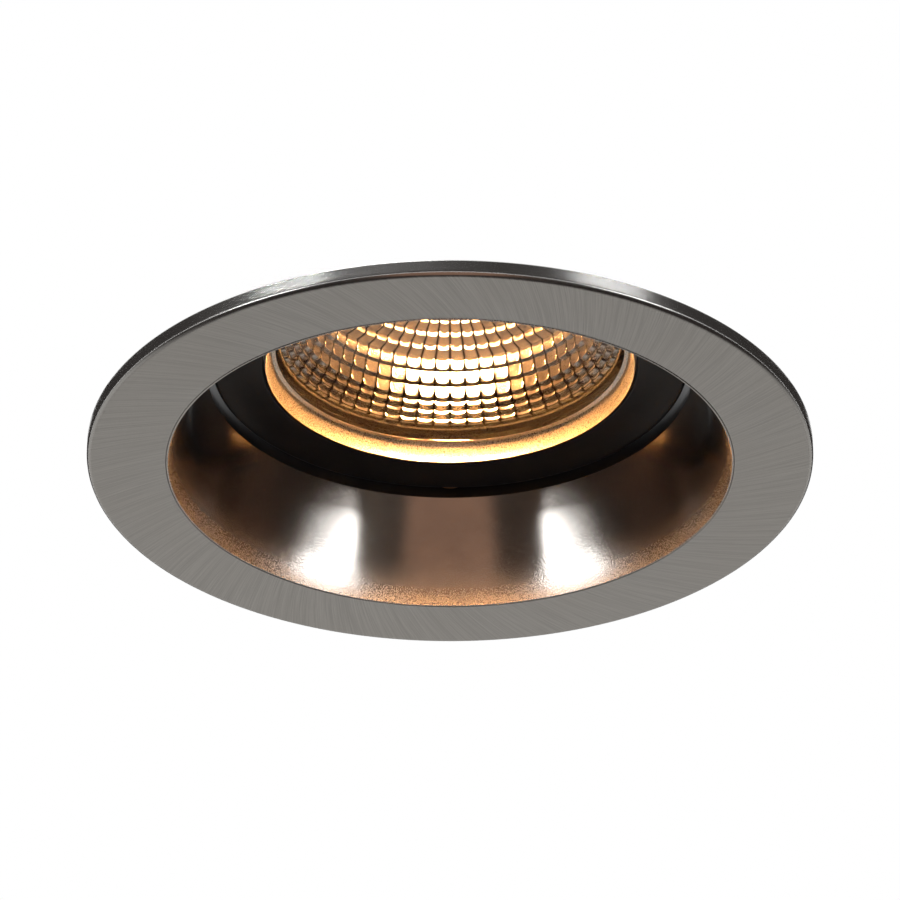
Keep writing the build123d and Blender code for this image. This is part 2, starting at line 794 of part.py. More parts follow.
with BuildPart() as led_holder:
    with BuildSketch(Plane.XY.offset(aperture_z)):
        Circle(holder_radius)
        Circle(holder_opening_radius, mode=Mode.SUBTRACT)
        with Locations(*holder_screw_points):
            Circle(holder_screw_radius + screw_clearance, mode=Mode.SUBTRACT)
    extrude(amount=base_z - aperture_z)
    with BuildSketch(Plane.XY.offset(pocket_z)):
        Rectangle(pocket_width, pocket_width)
    extrude(amount=base_z - pocket_z, mode=Mode.SUBTRACT)
    with BuildSketch(Plane.XY.offset(aperture_z)):
        with Locations(*holder_screw_points):
            Circle(holder_screw_head_radius + screw_clearance)
    extrude(amount=holder_screw_head_height, mode=Mode.SUBTRACT)
    with BuildSketch(Plane.XY.offset(base_z)):
        with Locations(*lead_points):
            Circle(lead_radius + lead_clearance)
    extrude(amount=-lead_entry, mode=Mode.SUBTRACT)
save(led_holder, "led_holder")

with BuildPart() as holder_screws:
    shank_z = aperture_z + holder_screw_head_height
    with BuildSketch(Plane.XY.offset(shank_z)):
        with Locations(*holder_screw_points):
            Circle(holder_screw_radius)
    extrude(amount=base_z + holder_screw_bite - shank_z)
    with BuildSketch(Plane.XY.offset(aperture_z)):
        with Locations(*holder_screw_points):
            Circle(holder_screw_head_radius)
    extrude(amount=holder_screw_head_height)
    with BuildSketch(Plane.XY.offset(aperture_z)):
        with Locations(*holder_screw_points):
            Rectangle(2 * holder_screw_head_radius, slot_width)
    extrude(amount=slot_depth, mode=Mode.SUBTRACT)
save(holder_screws, "holder_screws")

# Heat sink: cup round the reflector, base under the LED, hollow core and radial fins
with BuildPart() as heat_sink:
    with BuildSketch(Plane.XZ):
        with BuildLine():
            Polyline(
                (sink_radius - sink_wall, sink_front_z),
                (sink_radius, sink_front_z),
                (sink_radius, base_top_z),
                (sink_core_radius, base_top_z),
                (sink_core_radius, sink_top_z),
                (well_radius, sink_top_z),
                (well_radius, base_top_z),
                (0, base_top_z),
                (0, base_z),
                (sink_radius - sink_wall, base_z),
                close=True,
            )
        make_face()
    revolve(axis=Axis.Z)
    fin_turns = [2 * pi * (n + 0.5) / fin_count for n in range(fin_count)]
    fin_planes = [
        Plane(origin=(0, 0, 0), x_dir=(cos(turn), sin(turn), 0), z_dir=(sin(turn), -cos(turn), 0))
        for turn in fin_turns
    ]
    with BuildSketch(*fin_planes):
        with BuildLine():
            Polyline(
                (sink_core_radius - fin_root, base_top_z - fin_root),
                (sink_radius - fin_setback, base_top_z - fin_root),
                (sink_radius - fin_setback, base_top_z),
                (fin_top_radius, sink_top_z),
                (sink_core_radius - fin_root, sink_top_z),
                close=True,
            )
        make_face()
    extrude(amount=fin_thickness / 2, both=True)
    with BuildSketch(Plane.XY.offset(base_z)):
        with Locations(*holder_screw_points):
            Circle(holder_screw_radius + thread_clearance)
    extrude(amount=holder_screw_bite + screw_tip_gap, mode=Mode.SUBTRACT)
    with BuildSketch(Plane.XY.offset(base_z)):
        with Locations(*lead_points):
            Circle(lead_radius + lead_clearance)
    extrude(amount=sink_base_thickness, mode=Mode.SUBTRACT)
save(heat_sink, "heat_sink")

# Wiring: two leads from the holder, through the base, into the terminal block in the core
with BuildPart() as led_leads:
    for side in (-1, 1):
        with BuildLine():
            FilletPolyline(
                (0, side * lead_y, base_z - lead_entry + lead_clearance),
                (0, side * lead_y, lead_bend_z),
                (0, side * (terminal_length / 2 - lead_entry + lead_clearance), lead_bend_z),
                radius=lead_bend_radius,
            )
        with BuildSketch(Plane.XY.offset(base_z - lead_entry + lead_clearance)):
            with Locations((0, side * lead_y)):
                Circle(lead_radius)
        sweep()
save(led_leads, "led_leads")

with BuildPart() as terminal_block:
    with BuildSketch(Plane.XY.offset(base_top_z)):
        Rectangle(terminal_width, terminal_length)
    extrude(amount=terminal_height)
    with BuildSketch(Plane.XY.offset(terminal_top_z)):
        with Locations(*terminal_screw_points):
            Circle(terminal_screw_radius + thread_clearance)
    extrude(amount=-(terminal_screw_recess + terminal_screw_length), mode=Mode.SUBTRACT)
    with BuildSketch(Plane.XY.offset(terminal_top_z)):
        with Locations(*terminal_wire_points):
            Circle(terminal_wire_radius)
    extrude(amount=-terminal_wire_depth, mode=Mode.SUBTRACT)
    for side in (-1, 1):
        with BuildSketch(Plane.XZ.offset(side * terminal_length / 2)):
            with Locations((0, lead_bend_z)):
                Circle(lead_radius + lead_clearance)
        extrude(amount=-side * lead_entry, mode=Mode.SUBTRACT)
save(terminal_block, "terminal_block")

with BuildPart() as terminal_screws:
    screw_top_z = terminal_top_z - terminal_screw_recess
    with BuildSketch(Plane.XY.offset(screw_top_z)):
        with Locations(*terminal_screw_points):
            Circle(terminal_screw_radius)
    extrude(amount=-terminal_screw_length)
    with BuildSketch(Plane.XY.offset(screw_top_z)):
        with Locations(*terminal_screw_points):
            Rectangle(2 * terminal_screw_radius, slot_width)
    extrude(amount=-slot_depth, mode=Mode.SUBTRACT)
save(terminal_screws, "terminal_screws")

# Rear cap with its cable gland, which closes the core
with BuildPart() as rear_cap:
    plug_radius = well_radius - stack_clearance
    with BuildSketch(Plane.XY.offset(sink_top_z)):
        Circle(sink_core_radius)
    extrude(amount=cap_thickness)
    fillet(round_edges(rear_cap, cap_top_z), radius=cap_edge_fillet)
    with BuildSketch(Plane.XY.offset(sink_top_z)):
        Circle(plug_radius)
        Circle(plug_radius - cap_plug_wall, mode=Mode.SUBTRACT)
    extrude(amount=-cap_plug_depth)
    with BuildSketch(Plane.XY.offset(sink_top_z)):
        Circle(gland_thread_radius + gland_clearance)
    extrude(amount=cap_thickness, mode=Mode.SUBTRACT)
save(rear_cap, "rear_cap")

with BuildPart() as cable_gland:
    with BuildSketch(Plane.XY.offset(gland_end_z)):
        Circle(gland_thread_radius)
    extrude(amount=cap_top_z - gland_end_z)
    with BuildSketch(Plane.XY.offset(cap_top_z)):
        RegularPolygon(gland_across_flats / 2, 6, major_radius=False)
    extrude(amount=gland_hex_height)
    with BuildSketch(Plane.XY.offset(gland_hex_z)):
        Circle(gland_dome_radius)
    extrude(amount=gland_dome_height)
    fillet(round_edges(cable_gland, gland_top_z), radius=gland_dome_fillet)
    with BuildSketch(Plane.XY.offset(gland_end_z)):
        Circle(gland_bore_radius)
    extrude(amount=gland_top_z - gland_end_z, mode=Mode.SUBTRACT)
save(cable_gland, "cable_gland")

with BuildPart() as gland_locknut:
    with BuildSketch(Plane.XY.offset(locknut_z)):
        RegularPolygon(gland_across_flats / 2, 6, major_radius=False)
        Circle(gland_thread_radius + thread_clearance, mode=Mode.SUBTRACT)
    extrude(amount=locknut_height)
save(gland_locknut, "gland_locknut")

# Snap wire: open ring above the bezel's skirt, with two upright tabs to squeeze
with BuildPart() as retaining_clip:
    half_gap = radians(snap_gap_angle / 2)
    with BuildLine():
        ends = []
        for turn, way in ((half_gap, -1), (-half_gap, 1)):
            end = Vector(snap_radius * cos(turn), snap_radius * sin(turn), snap_z)
            tangent = Vector(-sin(turn), cos(turn), 0) * way
            bend_end = end + tangent * snap_bend_radius + Vector(0, 0, snap_bend_radius)
            TangentArc(end, bend_end, tangent=tangent)
            Line(bend_end, bend_end + Vector(0, 0, snap_tab_height))
            ends.append(end)
        ThreePointArc(ends[0], (-snap_radius, 0, snap_z), ends[1])
    tab_top = bend_end + Vector(0, 0, snap_tab_height)
    with BuildSketch(Plane(origin=tab_top, z_dir=(0, 0, -1))):
        Circle(snap_wire_radius)
    sweep()
save(retaining_clip, "retaining_clip")
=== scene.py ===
"""Looks of a recessed ceiling spotlight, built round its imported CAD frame.

Sizes are in millimetres in the shape functions and in metres on the objects. The frame's origin
is the centre of the ceiling's lower surface, +Z goes up into the ceiling and the lamp tilts about Y.
"""

import json
from math import cos, e, pi, radians, sin, tan

import bmesh
import bpy
import numpy as np
from bpy.props import FloatProperty, FloatVectorProperty, IntProperty, PointerProperty
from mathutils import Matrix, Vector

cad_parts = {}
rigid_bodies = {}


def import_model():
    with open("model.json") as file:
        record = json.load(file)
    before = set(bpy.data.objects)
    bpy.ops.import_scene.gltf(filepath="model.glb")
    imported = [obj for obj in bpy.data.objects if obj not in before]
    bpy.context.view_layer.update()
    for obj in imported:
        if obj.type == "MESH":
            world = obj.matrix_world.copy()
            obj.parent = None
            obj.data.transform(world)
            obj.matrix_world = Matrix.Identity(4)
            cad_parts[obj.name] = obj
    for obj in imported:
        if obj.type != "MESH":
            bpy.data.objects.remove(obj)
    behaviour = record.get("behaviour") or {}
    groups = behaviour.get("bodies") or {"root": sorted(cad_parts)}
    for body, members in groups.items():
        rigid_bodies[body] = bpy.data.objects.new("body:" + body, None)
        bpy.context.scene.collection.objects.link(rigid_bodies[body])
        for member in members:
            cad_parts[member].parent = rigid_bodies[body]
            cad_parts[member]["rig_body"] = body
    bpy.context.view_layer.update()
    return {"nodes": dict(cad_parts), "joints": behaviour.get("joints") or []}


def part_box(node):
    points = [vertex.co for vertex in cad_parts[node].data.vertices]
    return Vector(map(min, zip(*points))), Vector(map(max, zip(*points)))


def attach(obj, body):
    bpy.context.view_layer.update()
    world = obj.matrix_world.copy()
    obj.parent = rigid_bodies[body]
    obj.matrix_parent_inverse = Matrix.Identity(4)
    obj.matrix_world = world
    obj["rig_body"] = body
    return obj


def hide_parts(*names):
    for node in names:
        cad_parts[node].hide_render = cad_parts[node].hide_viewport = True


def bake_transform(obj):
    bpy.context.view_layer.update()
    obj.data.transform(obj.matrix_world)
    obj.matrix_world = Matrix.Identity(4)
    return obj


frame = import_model()
NODES = frame["nodes"]

bl_info = {
    "name": "Recessed Spotlight Looks",
    "version": (1, 0, 0),
    "blender": (4, 5, 0),
    "location": "View3D > Sidebar > Spotlight",
    "description": "Builds the visible pieces, finishes and studio of a recessed ceiling spotlight",
    "category": "Add Mesh",
}

MM = 0.001
# Face attribute of wear on eased edges, which also marks the painted shade in the seams between the reflector's
# facets
EDGE_WEAR_AND_SEAM_SHADE = "edge_wear_and_seam_shade"
WHITE = (1.0, 1.0, 1.0)
DAM = 4.75  # Inner radius of the white dam round the LED's lit face, in millimetres
SHEET_REACH = 2600.0  # Radius of the floor and the ceiling, in millimetres


def size_of(node, corner, axis):
    """One coordinate of a CAD node's box, in metres."""
    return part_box(node)[corner][axis]


def round_box(node):
    """Radius, bottom and top of a CAD node that is round about Z, in millimetres."""
    low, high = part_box(node)
    return high.x / MM, low.z / MM, high.z / MM


def length(label, text, default):
    """A size in metres."""
    return FloatProperty(name=label, description=text, default=default, unit="LENGTH", precision=5)


def colour(label, text, default):
    """A linear colour."""
    return FloatVectorProperty(
        name=label, description=text, default=default, subtype="COLOR", size=3, min=0.0, max=1.0
    )


def share(label, text, default):
    """A number from 0 to 1."""
    return FloatProperty(name=label, description=text, default=default, subtype="FACTOR", min=0.0, max=1.0)


def angle_of(label, text, degrees):
    """An angle, given in degrees."""
    return FloatProperty(name=label, description=text, default=radians(degrees), subtype="ANGLE")


def amount(label, text, default):
    """A number that isn't negative."""
    return FloatProperty(name=label, description=text, default=default, min=0.0)


class TrimSettings(bpy.types.PropertyGroup):
    """Sizes and finishes of the trim ring and the cone."""

    flange_radius: length("Flange radius", "Outer radius of the visible flange", size_of("trim_ring", 1, 0))
    face_height: length("Face height", "Height of the flange's visible face", size_of("trim_ring", 0, 2))
    spigot_height: length("Spigot height", "Top of the spigot", size_of("trim_ring", 1, 2))
    bore_radius: length("Bore radius", "Inner radius of the flange", 0.036)
    edge_round: length("Edge round", "Radius of the flange's front edge", 0.0006)
    flange_light: colour("Flange light", "Bright streaks of the brushed flange", (0.66, 0.645, 0.62))
    flange_dark: colour("Flange dark", "Dark streaks of the brushed flange", (0.47, 0.458, 0.44))
    brush_angle: angle_of("Brush angle", "Lean of the brush strokes from the radius", 25)
    cone_colour: colour("Cone colour", "Satin metal of the deep cone", (0.68, 0.65, 0.615))
    cone_roughness: share("Cone roughness", "Roughness of the satin cone", 0.125)


class LampSettings(bpy.types.PropertyGroup):
    """Sizes and finishes of the tilting lamp."""

    facet_columns: IntProperty(name="Facet columns", description="Facets round the reflector", default=60, min=3)
    facet_rows: IntProperty(name="Facet rows", description="Facets along the reflector", default=13, min=6)
    facet_side: share("Facet side", "How far a facet falls towards its sides", 0.6)
    facet_pull: amount("Facet pull", "How close a facet comes to its knee", 24.0)
    facet_aim: angle_of("Facet aim", "How far below the horizon a facet throws the light of the LED", 30.6)
    bezel_cove: angle_of("Bezel cove", "Half of the angle that the bezel's hollow bevel turns through", 14)
    led_colour: colour("LED colour", "Warm light of the LED", (1.0, 0.4, 0.11))
    led_strength: amount("LED strength", "Brightness of the LED", 1400.0)
    coat_colour: colour("Coat colour", "Black coat of the ring and the carrier", (0.012, 0.012, 0.013))
    sink_colour: colour("Heat sink colour", "Grey anodised metal", (0.36, 0.365, 0.375))


class StageSettings(bpy.types.PropertyGroup):
    """Camera, floor, ceiling and light."""

    distance: length("Distance", "From the camera to the spotlight", 0.7)
    elevation: angle_of("Elevation", "Camera angle above the horizon", -30.59)
    target_height: length("Target height", "Height that the camera looks at", 0.0007)
    lens: FloatProperty(name="Lens", description="Focal length", default=220.44, subtype="DISTANCE_CAMERA")
    floor_colour: colour("Floor colour", "Pale floor", (0.8, 0.8, 0.8))
    softbox_power: amount("Softbox power", "Power that each softbox takes its share of", 1.0)
    key_power: amount("Key power", "Power of the light overhead", 13.0)


class Value:
    """A number's socket. Arithmetic on it adds Math nodes to its tree."""

    def __init__(self, tree, socket):
        self.tree, self.socket = tree, socket

    def join(self, operation, *terms):
        node = self.tree.nodes.new("ShaderNodeMath")
        node.operation = operation
        for slot, term in zip(node.inputs, terms):
            if isinstance(term, Value):
                self.tree.links.new(term.socket, slot)
            else:
                slot.default_value = term
        return Value(self.tree, node.outputs[0])

    def __add__(self, other):
        return self.join("ADD", self, other)

    def __sub__(self, other):
        return self.join("SUBTRACT", self, other)

    def __rsub__(self, other):
        return self.join("SUBTRACT", other, self)

    def __mul__(self, other):
        return self.join("MULTIPLY", self, other)

    def __truediv__(self, other):
        return self.join("DIVIDE", self, other)

    def __pow__(self, other):
        return self.join("POWER", self, other)

    __radd__ = __add__
    __rmul__ = __mul__

    def sine(self):
        return self.join("SINE", self)

    def cosine(self):
        return self.join("COSINE", self)

    def log(self):
        return self.join("LOGARITHM", self, e)

    def most(self, other):
        return self.join("MAXIMUM", self, other)


class Nodes:
    """A node tree that is filled by expressions."""

    def __init__(self, tree):
        self.tree = tree
        tree.nodes.clear()

    def feed(self, slot, value):
        """Links a socket, or sets the slot's own value."""
        if isinstance(value, Value):
            value = value.socket
        if isinstance(value, bpy.types.NodeSocket):
            self.tree.links.new(value, slot)
        elif isinstance(value, tuple) and slot.type == "RGBA":
            slot.default_value = (*value[:3], 1.0)
        else:
            slot.default_value = value

    def node(self, kind, settings=None, sockets=None):
        """A node of that kind: its settings first, then the values or links of its sockets."""
        made = self.tree.nodes.new(kind)
        for key, value in (settings or {}).items():
            setattr(made, key, value)
        for key, value in (sockets or {}).items():
            self.feed(made.inputs[key], value)
        return made

    def value(self, socket):
        return Value(self.tree, socket)

    def place(self):
        """Object coordinates, in millimetres."""
        coordinates = self.node("ShaderNodeTexCoord").outputs["Object"]
        scaled = self.node("ShaderNodeVectorMath", {"operation": "SCALE"}, {0: coordinates, "Scale": 1 / MM})
        return scaled.outputs[0]

    def split(self, vector):
        parts = self.node("ShaderNodeSeparateXYZ", None, {0: vector})
        return [self.value(out) for out in parts.outputs]

    def vector(self, x, y, z):
        return self.node("ShaderNodeCombineXYZ", None, {"X": x, "Y": y, "Z": z}).outputs[0]

    def stretch(self, vector, factors):
        made = self.node("ShaderNodeVectorMath", {"operation": "MULTIPLY"}, {0: vector})
        made.inputs[1].default_value = factors
        return made.outputs[0]

    def noise(self, vector, scale, detail=2.0, rough=0.5, warp=0.0):
        """Soft noise from 0 to 1."""
        made = self.node(
            "ShaderNodeTexNoise",
            None,
            {"Vector": vector, "Scale": scale, "Detail": detail, "Roughness": rough, "Distortion": warp},
        )
        return self.value(made.outputs[0])

    def cells(self, vector, scale):
        """Distance to the nearest point of a pattern of cells."""
        return self.value(self.node("ShaderNodeTexVoronoi", None, {"Vector": vector, "Scale": scale}).outputs[0])

    def band(self, value, low, high, start=0.0, end=1.0):
        """Goes smoothly from start to end as the value goes from low to high."""
        made = self.node(
            "ShaderNodeMapRange",
            {"interpolation_type": "SMOOTHSTEP"},
            {"Value": value, "From Min": low, "From Max": high, "To Min": start, "To Max": end},
        )
        return self.value(made.outputs[0])

    def tint(self, mask, first, second):
        """A colour from first to second as the mask goes from 0 to 1."""
        made = self.node("ShaderNodeMix", {"data_type": "RGBA"}, {0: mask, 6: first, 7: second})
        return made.outputs[2]

    def bump(self, height, distance, strength):
        """A normal from a height, whose full range is a distance in metres."""
        made = self.node("ShaderNodeBump", None, {"Height": height, "Distance": distance, "Strength": strength})
        return made.outputs[0]

    def ray(self, kind):
        """What the Light Path node says of a ray."""
        return self.value(self.node("ShaderNodeLightPath").outputs[kind])

    def attribute(self, name):
        made = self.node("ShaderNodeAttribute", {"attribute_name": name})
        return self.value(made.outputs["Fac"])


class Finish(Nodes):
    """A material whose nodes give one finish. Each function below fills one, which it is given as f."""

    def __init__(self, name):
        self.material = bpy.data.materials.new(name)
        self.material.use_nodes = True
        super().__init__(self.material.node_tree)
        self.mm = self.place()

    def show(self, shader):
        self.node("ShaderNodeOutputMaterial", None, {"Surface": shader})
        return self.material

    def surface(self, **sockets):
        """The usual shader; underscores in a socket's name stand for spaces."""
        named = {key.replace("_", " "): value for key, value in sockets.items()}
        return self.node("ShaderNodeBsdfPrincipled", None, named).outputs[0]

    def coated(self, tone, rough, relief, **sockets):
        """The material with that colour, roughness and normal, and constants on other sockets."""
        return self.show(self.surface(Base_Color=tone, Roughness=rough, Normal=relief, **sockets))

    def mixed(self, mask, first, second):
        """One shader that goes over to another as the mask goes from 0 to 1."""
        return self.node("ShaderNodeMixShader", None, {0: mask, 1: first, 2: second}).outputs[0]

    def glow(self, tone):
        """Light of one colour, at a strength of 1."""
        return self.node("ShaderNodeEmission", None, {"Color": tone}).outputs[0]

    def clear(self, tone=WHITE):
        """A shader that lets light straight through, tinted by a colour."""
        return self.node("ShaderNodeBsdfTransparent", None, {"Color": tone}).outputs[0]

    def round_place(self):
        """Object coordinates x, y and z in millimetres, and the distance from the Z axis."""
        x, y, z = self.split(self.mm)
        return x, y, z, (x * x + y * y) ** 0.5

    def worn(self, amount, scale):
        """Wear that breaks up along the eased edges."""
        patches = self.band(self.noise(self.mm, scale, 4.0, 0.65), 1.0 - amount - 0.12, 1.0 - amount + 0.12)
        return self.attribute(EDGE_WEAR_AND_SEAM_SHADE) * patches


def shaded(tone, factor):
    """A colour times a factor."""
    return tuple(factor * part for part in tone)


def brushed_nickel(f):
    """Swirled brush strokes on the flange, polished edges, and turning lines round the spigot."""
    trim = bpy.context.scene.spot_trim
    x, y, z, radius = f.round_place()
    turn = radius.log() * tan(trim.brush_angle)
    across, along = x / radius, y / radius
    ux = across * turn.cosine() - along * turn.sine()
    uy = across * turn.sine() + along * turn.cosine()
    stroke = f.noise(f.vector(ux * 260.0, uy * 260.0, radius * 0.11), 1.0, 3.0, 0.6)
    broad = f.noise(f.vector(ux * 55.0, uy * 55.0, radius * 0.05), 1.0, 2.0, 0.55)
    cloud = f.noise(f.mm, 0.09, 2.0)
    flange_edge = trim.flange_radius / MM
    face = trim.face_height / MM
    polished = f.band(radius, flange_edge - 0.55, flange_edge - 0.3)
    bare = f.band(z, face + 0.05, face + 0.3)
    smooth = polished.most(bare)
    streak = f.band(stroke * 0.7 + broad * 0.3, 0.34, 0.66)
    metal = f.tint(streak, tuple(trim.flange_dark), tuple(trim.flange_light))
    metal = f.tint(f.band(cloud, 0.35, 0.75) * 0.16, metal, (0.55, 0.52, 0.48))
    metal = f.tint(smooth, metal, (0.6, 0.59, 0.575))
    spigot = f.band(z, 0.05, 0.4)
    line = f.noise(f.stretch(f.mm, (0.04, 0.04, 1.0)), 3.0, 3.0, 0.65)
    metal = f.tint(spigot * f.band(line, 0.3, 0.7, 0.5, 1.0), metal, (0.4, 0.39, 0.375))
    brushed = 0.4 + (streak - 0.5) * 0.14
    rough = brushed * (1 - smooth) + smooth * (0.16 + cloud * 0.08) + spigot * (line * 0.2)
    relief = f.bump(stroke * (1 - smooth) + broad * 0.4 + spigot * line, 0.000035, 0.55)
    return f.coated(metal, rough, relief, Metallic=1.0)


def satin_nickel(f):
    """Satin metal, blasted coarser towards the cone's mouth and on the lamp's bezel, with a sparkle there painted as
    bright glints in the colour, and a paler, warmer tone painted on the bezel for the LED's warm light.
    """
    trim = bpy.context.scene.spot_trim
    _, _, z, radius = f.round_place()
    face, throat = trim.face_height / MM, trim.bore_radius / MM - 6.0
    grain = f.noise(f.mm, 7.0, 2.0, 0.65)
    dimple = f.cells(f.mm, 3.6)
    cloud = f.noise(f.mm, 0.16, 3.0)
    bezel = f.band(radius, throat - 1.0, throat, 1.0, 0.0)
    coarse = (f.band(z, face - 0.6, face + 7.5, 1.0, 0.0) ** 1.7).most(bezel)
    blasted = f.band(grain, 0.4, 0.64)
    # Painted glints: bright specks in the base colour stand in for light sparkling off the blasted grains
    painted_glint = f.band(dimple, 0.1, 0.34, 1.0, 0.0) * f.band(f.noise(f.mm, 1.7, 2.0), 0.46, 0.62)
    base = tuple(trim.cone_colour)
    metal = f.tint(f.band(cloud, 0.3, 0.7), shaded(base, 0.86), base)
    metal = f.tint(blasted * coarse * 0.35, metal, shaded(base, 0.6))
    # Painted light: the bezel's paler, warmer tone stands in for the LED's warm light falling on it
    metal = f.tint(bezel * 0.85, metal, (0.98, 0.92, 0.8))
    metal = f.tint(painted_glint * coarse * 0.8, metal, (0.95, 0.92, 0.88))
    rough = trim.cone_roughness * (0.86 + blasted * 0.3) + coarse * (0.135 + blasted * 0.1) + bezel * 0.02
    relief = f.bump(grain * 0.6 + dimple * 0.4, 0.00003, coarse * 0.45 + 0.15)
    return f.coated(metal, rough, relief, Metallic=1.0)


def black_coat(f):
    """Black lacquer with a slight orange peel, worn to metal on its edges."""
    lamp = bpy.context.scene.spot_lamp
    peel = f.noise(f.mm, 2.4, 2.0)
    fine = f.noise(f.mm, 9.0, 2.0)
    cloud = f.noise(f.mm, 0.2, 3.0)
    wear = f.worn(0.24, 0.9)
    base = tuple(lamp.coat_colour)
    tone = f.tint(f.band(cloud, 0.3, 0.7), base, shaded(base, 1.7))
    tone = f.tint(wear, tone, (0.34, 0.335, 0.33))
    rough = 0.33 + (fine - 0.5) * 0.12 + (cloud - 0.5) * 0.08
    relief = f.bump(peel * 0.6 + fine * 0.4, 0.00002, 0.5)
    return f.coated(tone, rough, relief, Metallic=wear, Specular_IOR_Level=0.34)


def zinc_steel(f):
    """Zinc-plated steel: pale blue-grey patches, rolling lines and bright edges."""
    patch = f.noise(f.mm, 0.9, 4.0, 0.6, 0.4)
    line = f.noise(f.stretch(f.mm, (0.5, 7.0, 0.5)), 1.6, 2.0)
    speck = f.cells(f.mm, 1.7)
    wear = f.worn(0.6, 0.6)
    tone = f.tint(f.band(patch, 0.3, 0.72), (0.5, 0.505, 0.515), (0.59, 0.59, 0.585))
    tone = f.tint(f.band(speck, 0.0, 0.12, 0.35, 0.0), tone, (0.36, 0.35, 0.33))
    tone = f.tint(wear, tone, (0.74, 0.74, 0.73))
    rough = 0.36 + (patch - 0.5) * 0.16 + (line - 0.5) * 0.14
    relief = f.bump(line * 0.6 + patch * 0.4, 0.00002, 0.5)
    return f.coated(tone, rough, relief, Metallic=1.0)


def spring_steel(f):
    """Drawn wire: bright steel with faint dark bands."""
    band = f.noise(f.mm, 1.1, 3.0, 0.6)
    drawn = f.noise(f.mm, 14.0, 1.0)
    tone = f.tint(f.band(band, 0.35, 0.7), (0.4, 0.395, 0.39), (0.62, 0.615, 0.6))
    rough = 0.24 + (band - 0.5) * 0.16 + (drawn - 0.5) * 0.1
    relief = f.bump(drawn, 0.00001, 0.5)
    return f.coated(tone, rough, relief, Metallic=1.0)


def black_rubber(f):
    """Closed-cell black rubber with open pores and dust."""
    pore = f.band(f.cells(f.mm, 1.3), 0.12, 0.45)
    fine = f.noise(f.mm, 5.0, 3.0)
    dust = f.band(f.noise(f.mm, 0.6, 5.0, 0.7), 0.52, 0.78)
    tone = f.tint(pore, (0.003, 0.003, 0.003), (0.022, 0.0215, 0.021))
    tone = f.tint(dust * 0.22, tone, (0.12, 0.115, 0.105))
    rough = 0.78 + (fine - 0.5) * 0.2
    relief = f.bump(pore * 0.7 + fine * 0.3, 0.00018, 0.8)
    return f.coated(tone, rough, relief, Specular_IOR_Level=0.16)


def grey_silicone(f):
    """Moulded grey silicone with a soft bloom."""
    bloom = f.noise(f.mm, 0.8, 4.0, 0.6)
    fine = f.noise(f.mm, 8.0, 2.0)
    tone = f.tint(f.band(bloom, 0.3, 0.75), (0.2, 0.2, 0.207), (0.26, 0.26, 0.265))
    rough = 0.55 + (bloom - 0.5) * 0.24
    return f.coated(tone, rough, f.bump(fine, 0.00003, 0.6), Specular_IOR_Level=0.4)


def fibre_washer(f):
    """Pressed brown fibre."""
    strand = f.noise(f.stretch(f.mm, (1.0, 5.0, 2.5)), 2.2, 4.0, 0.7, 0.5)
    tone = f.tint(f.band(strand, 0.3, 0.7), (0.25, 0.13, 0.065), (0.48, 0.31, 0.18))
    rough = 0.75 + (strand - 0.5) * 0.2
    return f.coated(tone, rough, f.bump(strand, 0.00005, 0.7))


def clear_glass(f):
    """Clear flat glass: what is behind shows through, with a reflection that grows to grazing angles."""
    smear = f.noise(f.mm, 0.25, 4.0, 0.6)
    gloss = f.node("ShaderNodeBsdfGlossy", None, {"Roughness": 0.02 + f.band(smear, 0.45, 0.8) * 0.08}).outputs[0]
    facing = f.value(f.node("ShaderNodeLayerWeight", None, {"Blend": 0.5}).outputs["Facing"])
    return f.show(f.mixed(0.04 + facing**5 * 0.9, f.clear((0.97, 0.985, 0.98)), gloss))


def bright_reflector(f):
    """Vacuum-metallised plastic, hazier near the LED, and dull in the seams between its facets, which are painted
    near black as the shade between them.
    """
    haze = f.noise(f.mm, 1.3, 4.0, 0.65)
    speck = f.noise(f.mm, 7.0, 2.0)
    tone = f.tint(f.band(haze, 0.3, 0.75), (0.66, 0.645, 0.62), (0.76, 0.75, 0.73))
    # Painted shade: the seams between facet columns are painted near black, standing in for the shade between the
    # facets; they are also duller
    painted_seam_shade = f.attribute(EDGE_WEAR_AND_SEAM_SHADE)
    tone = f.tint(painted_seam_shade, tone, (0.004, 0.003, 0.002))
    _, mouth, top = round_box("lamp_reflector")
    haze_start, haze_full = (mouth + part * (top - mouth) for part in (0.445, 0.6))
    deep = f.band(f.split(f.mm)[2], haze_start, haze_full)
    rough = 0.13 + (haze - 0.5) * 0.08 + (speck - 0.5) * 0.04 + painted_seam_shade * 0.1 + deep * 0.18
    relief = f.bump(speck * 0.6 + haze * 0.4, 0.00001, 0.4)
    return f.coated(tone, rough, relief, Metallic=1.0)


def white_plastic(f):
    """White moulded plastic with a fine spark-eroded texture."""
    texture = f.noise(f.mm, 5.0, 3.0)
    cloud = f.noise(f.mm, 0.4, 3.0)
    wear = f.worn(0.4, 0.8)
    tone = f.tint(f.band(cloud, 0.3, 0.7), (0.74, 0.735, 0.71), (0.82, 0.815, 0.8))
    tone = f.tint(wear * 0.5, tone, (0.6, 0.58, 0.53))
    rough = 0.46 + (texture - 0.5) * 0.16
    return f.coated(tone, rough, f.bump(texture, 0.00003, 0.6))


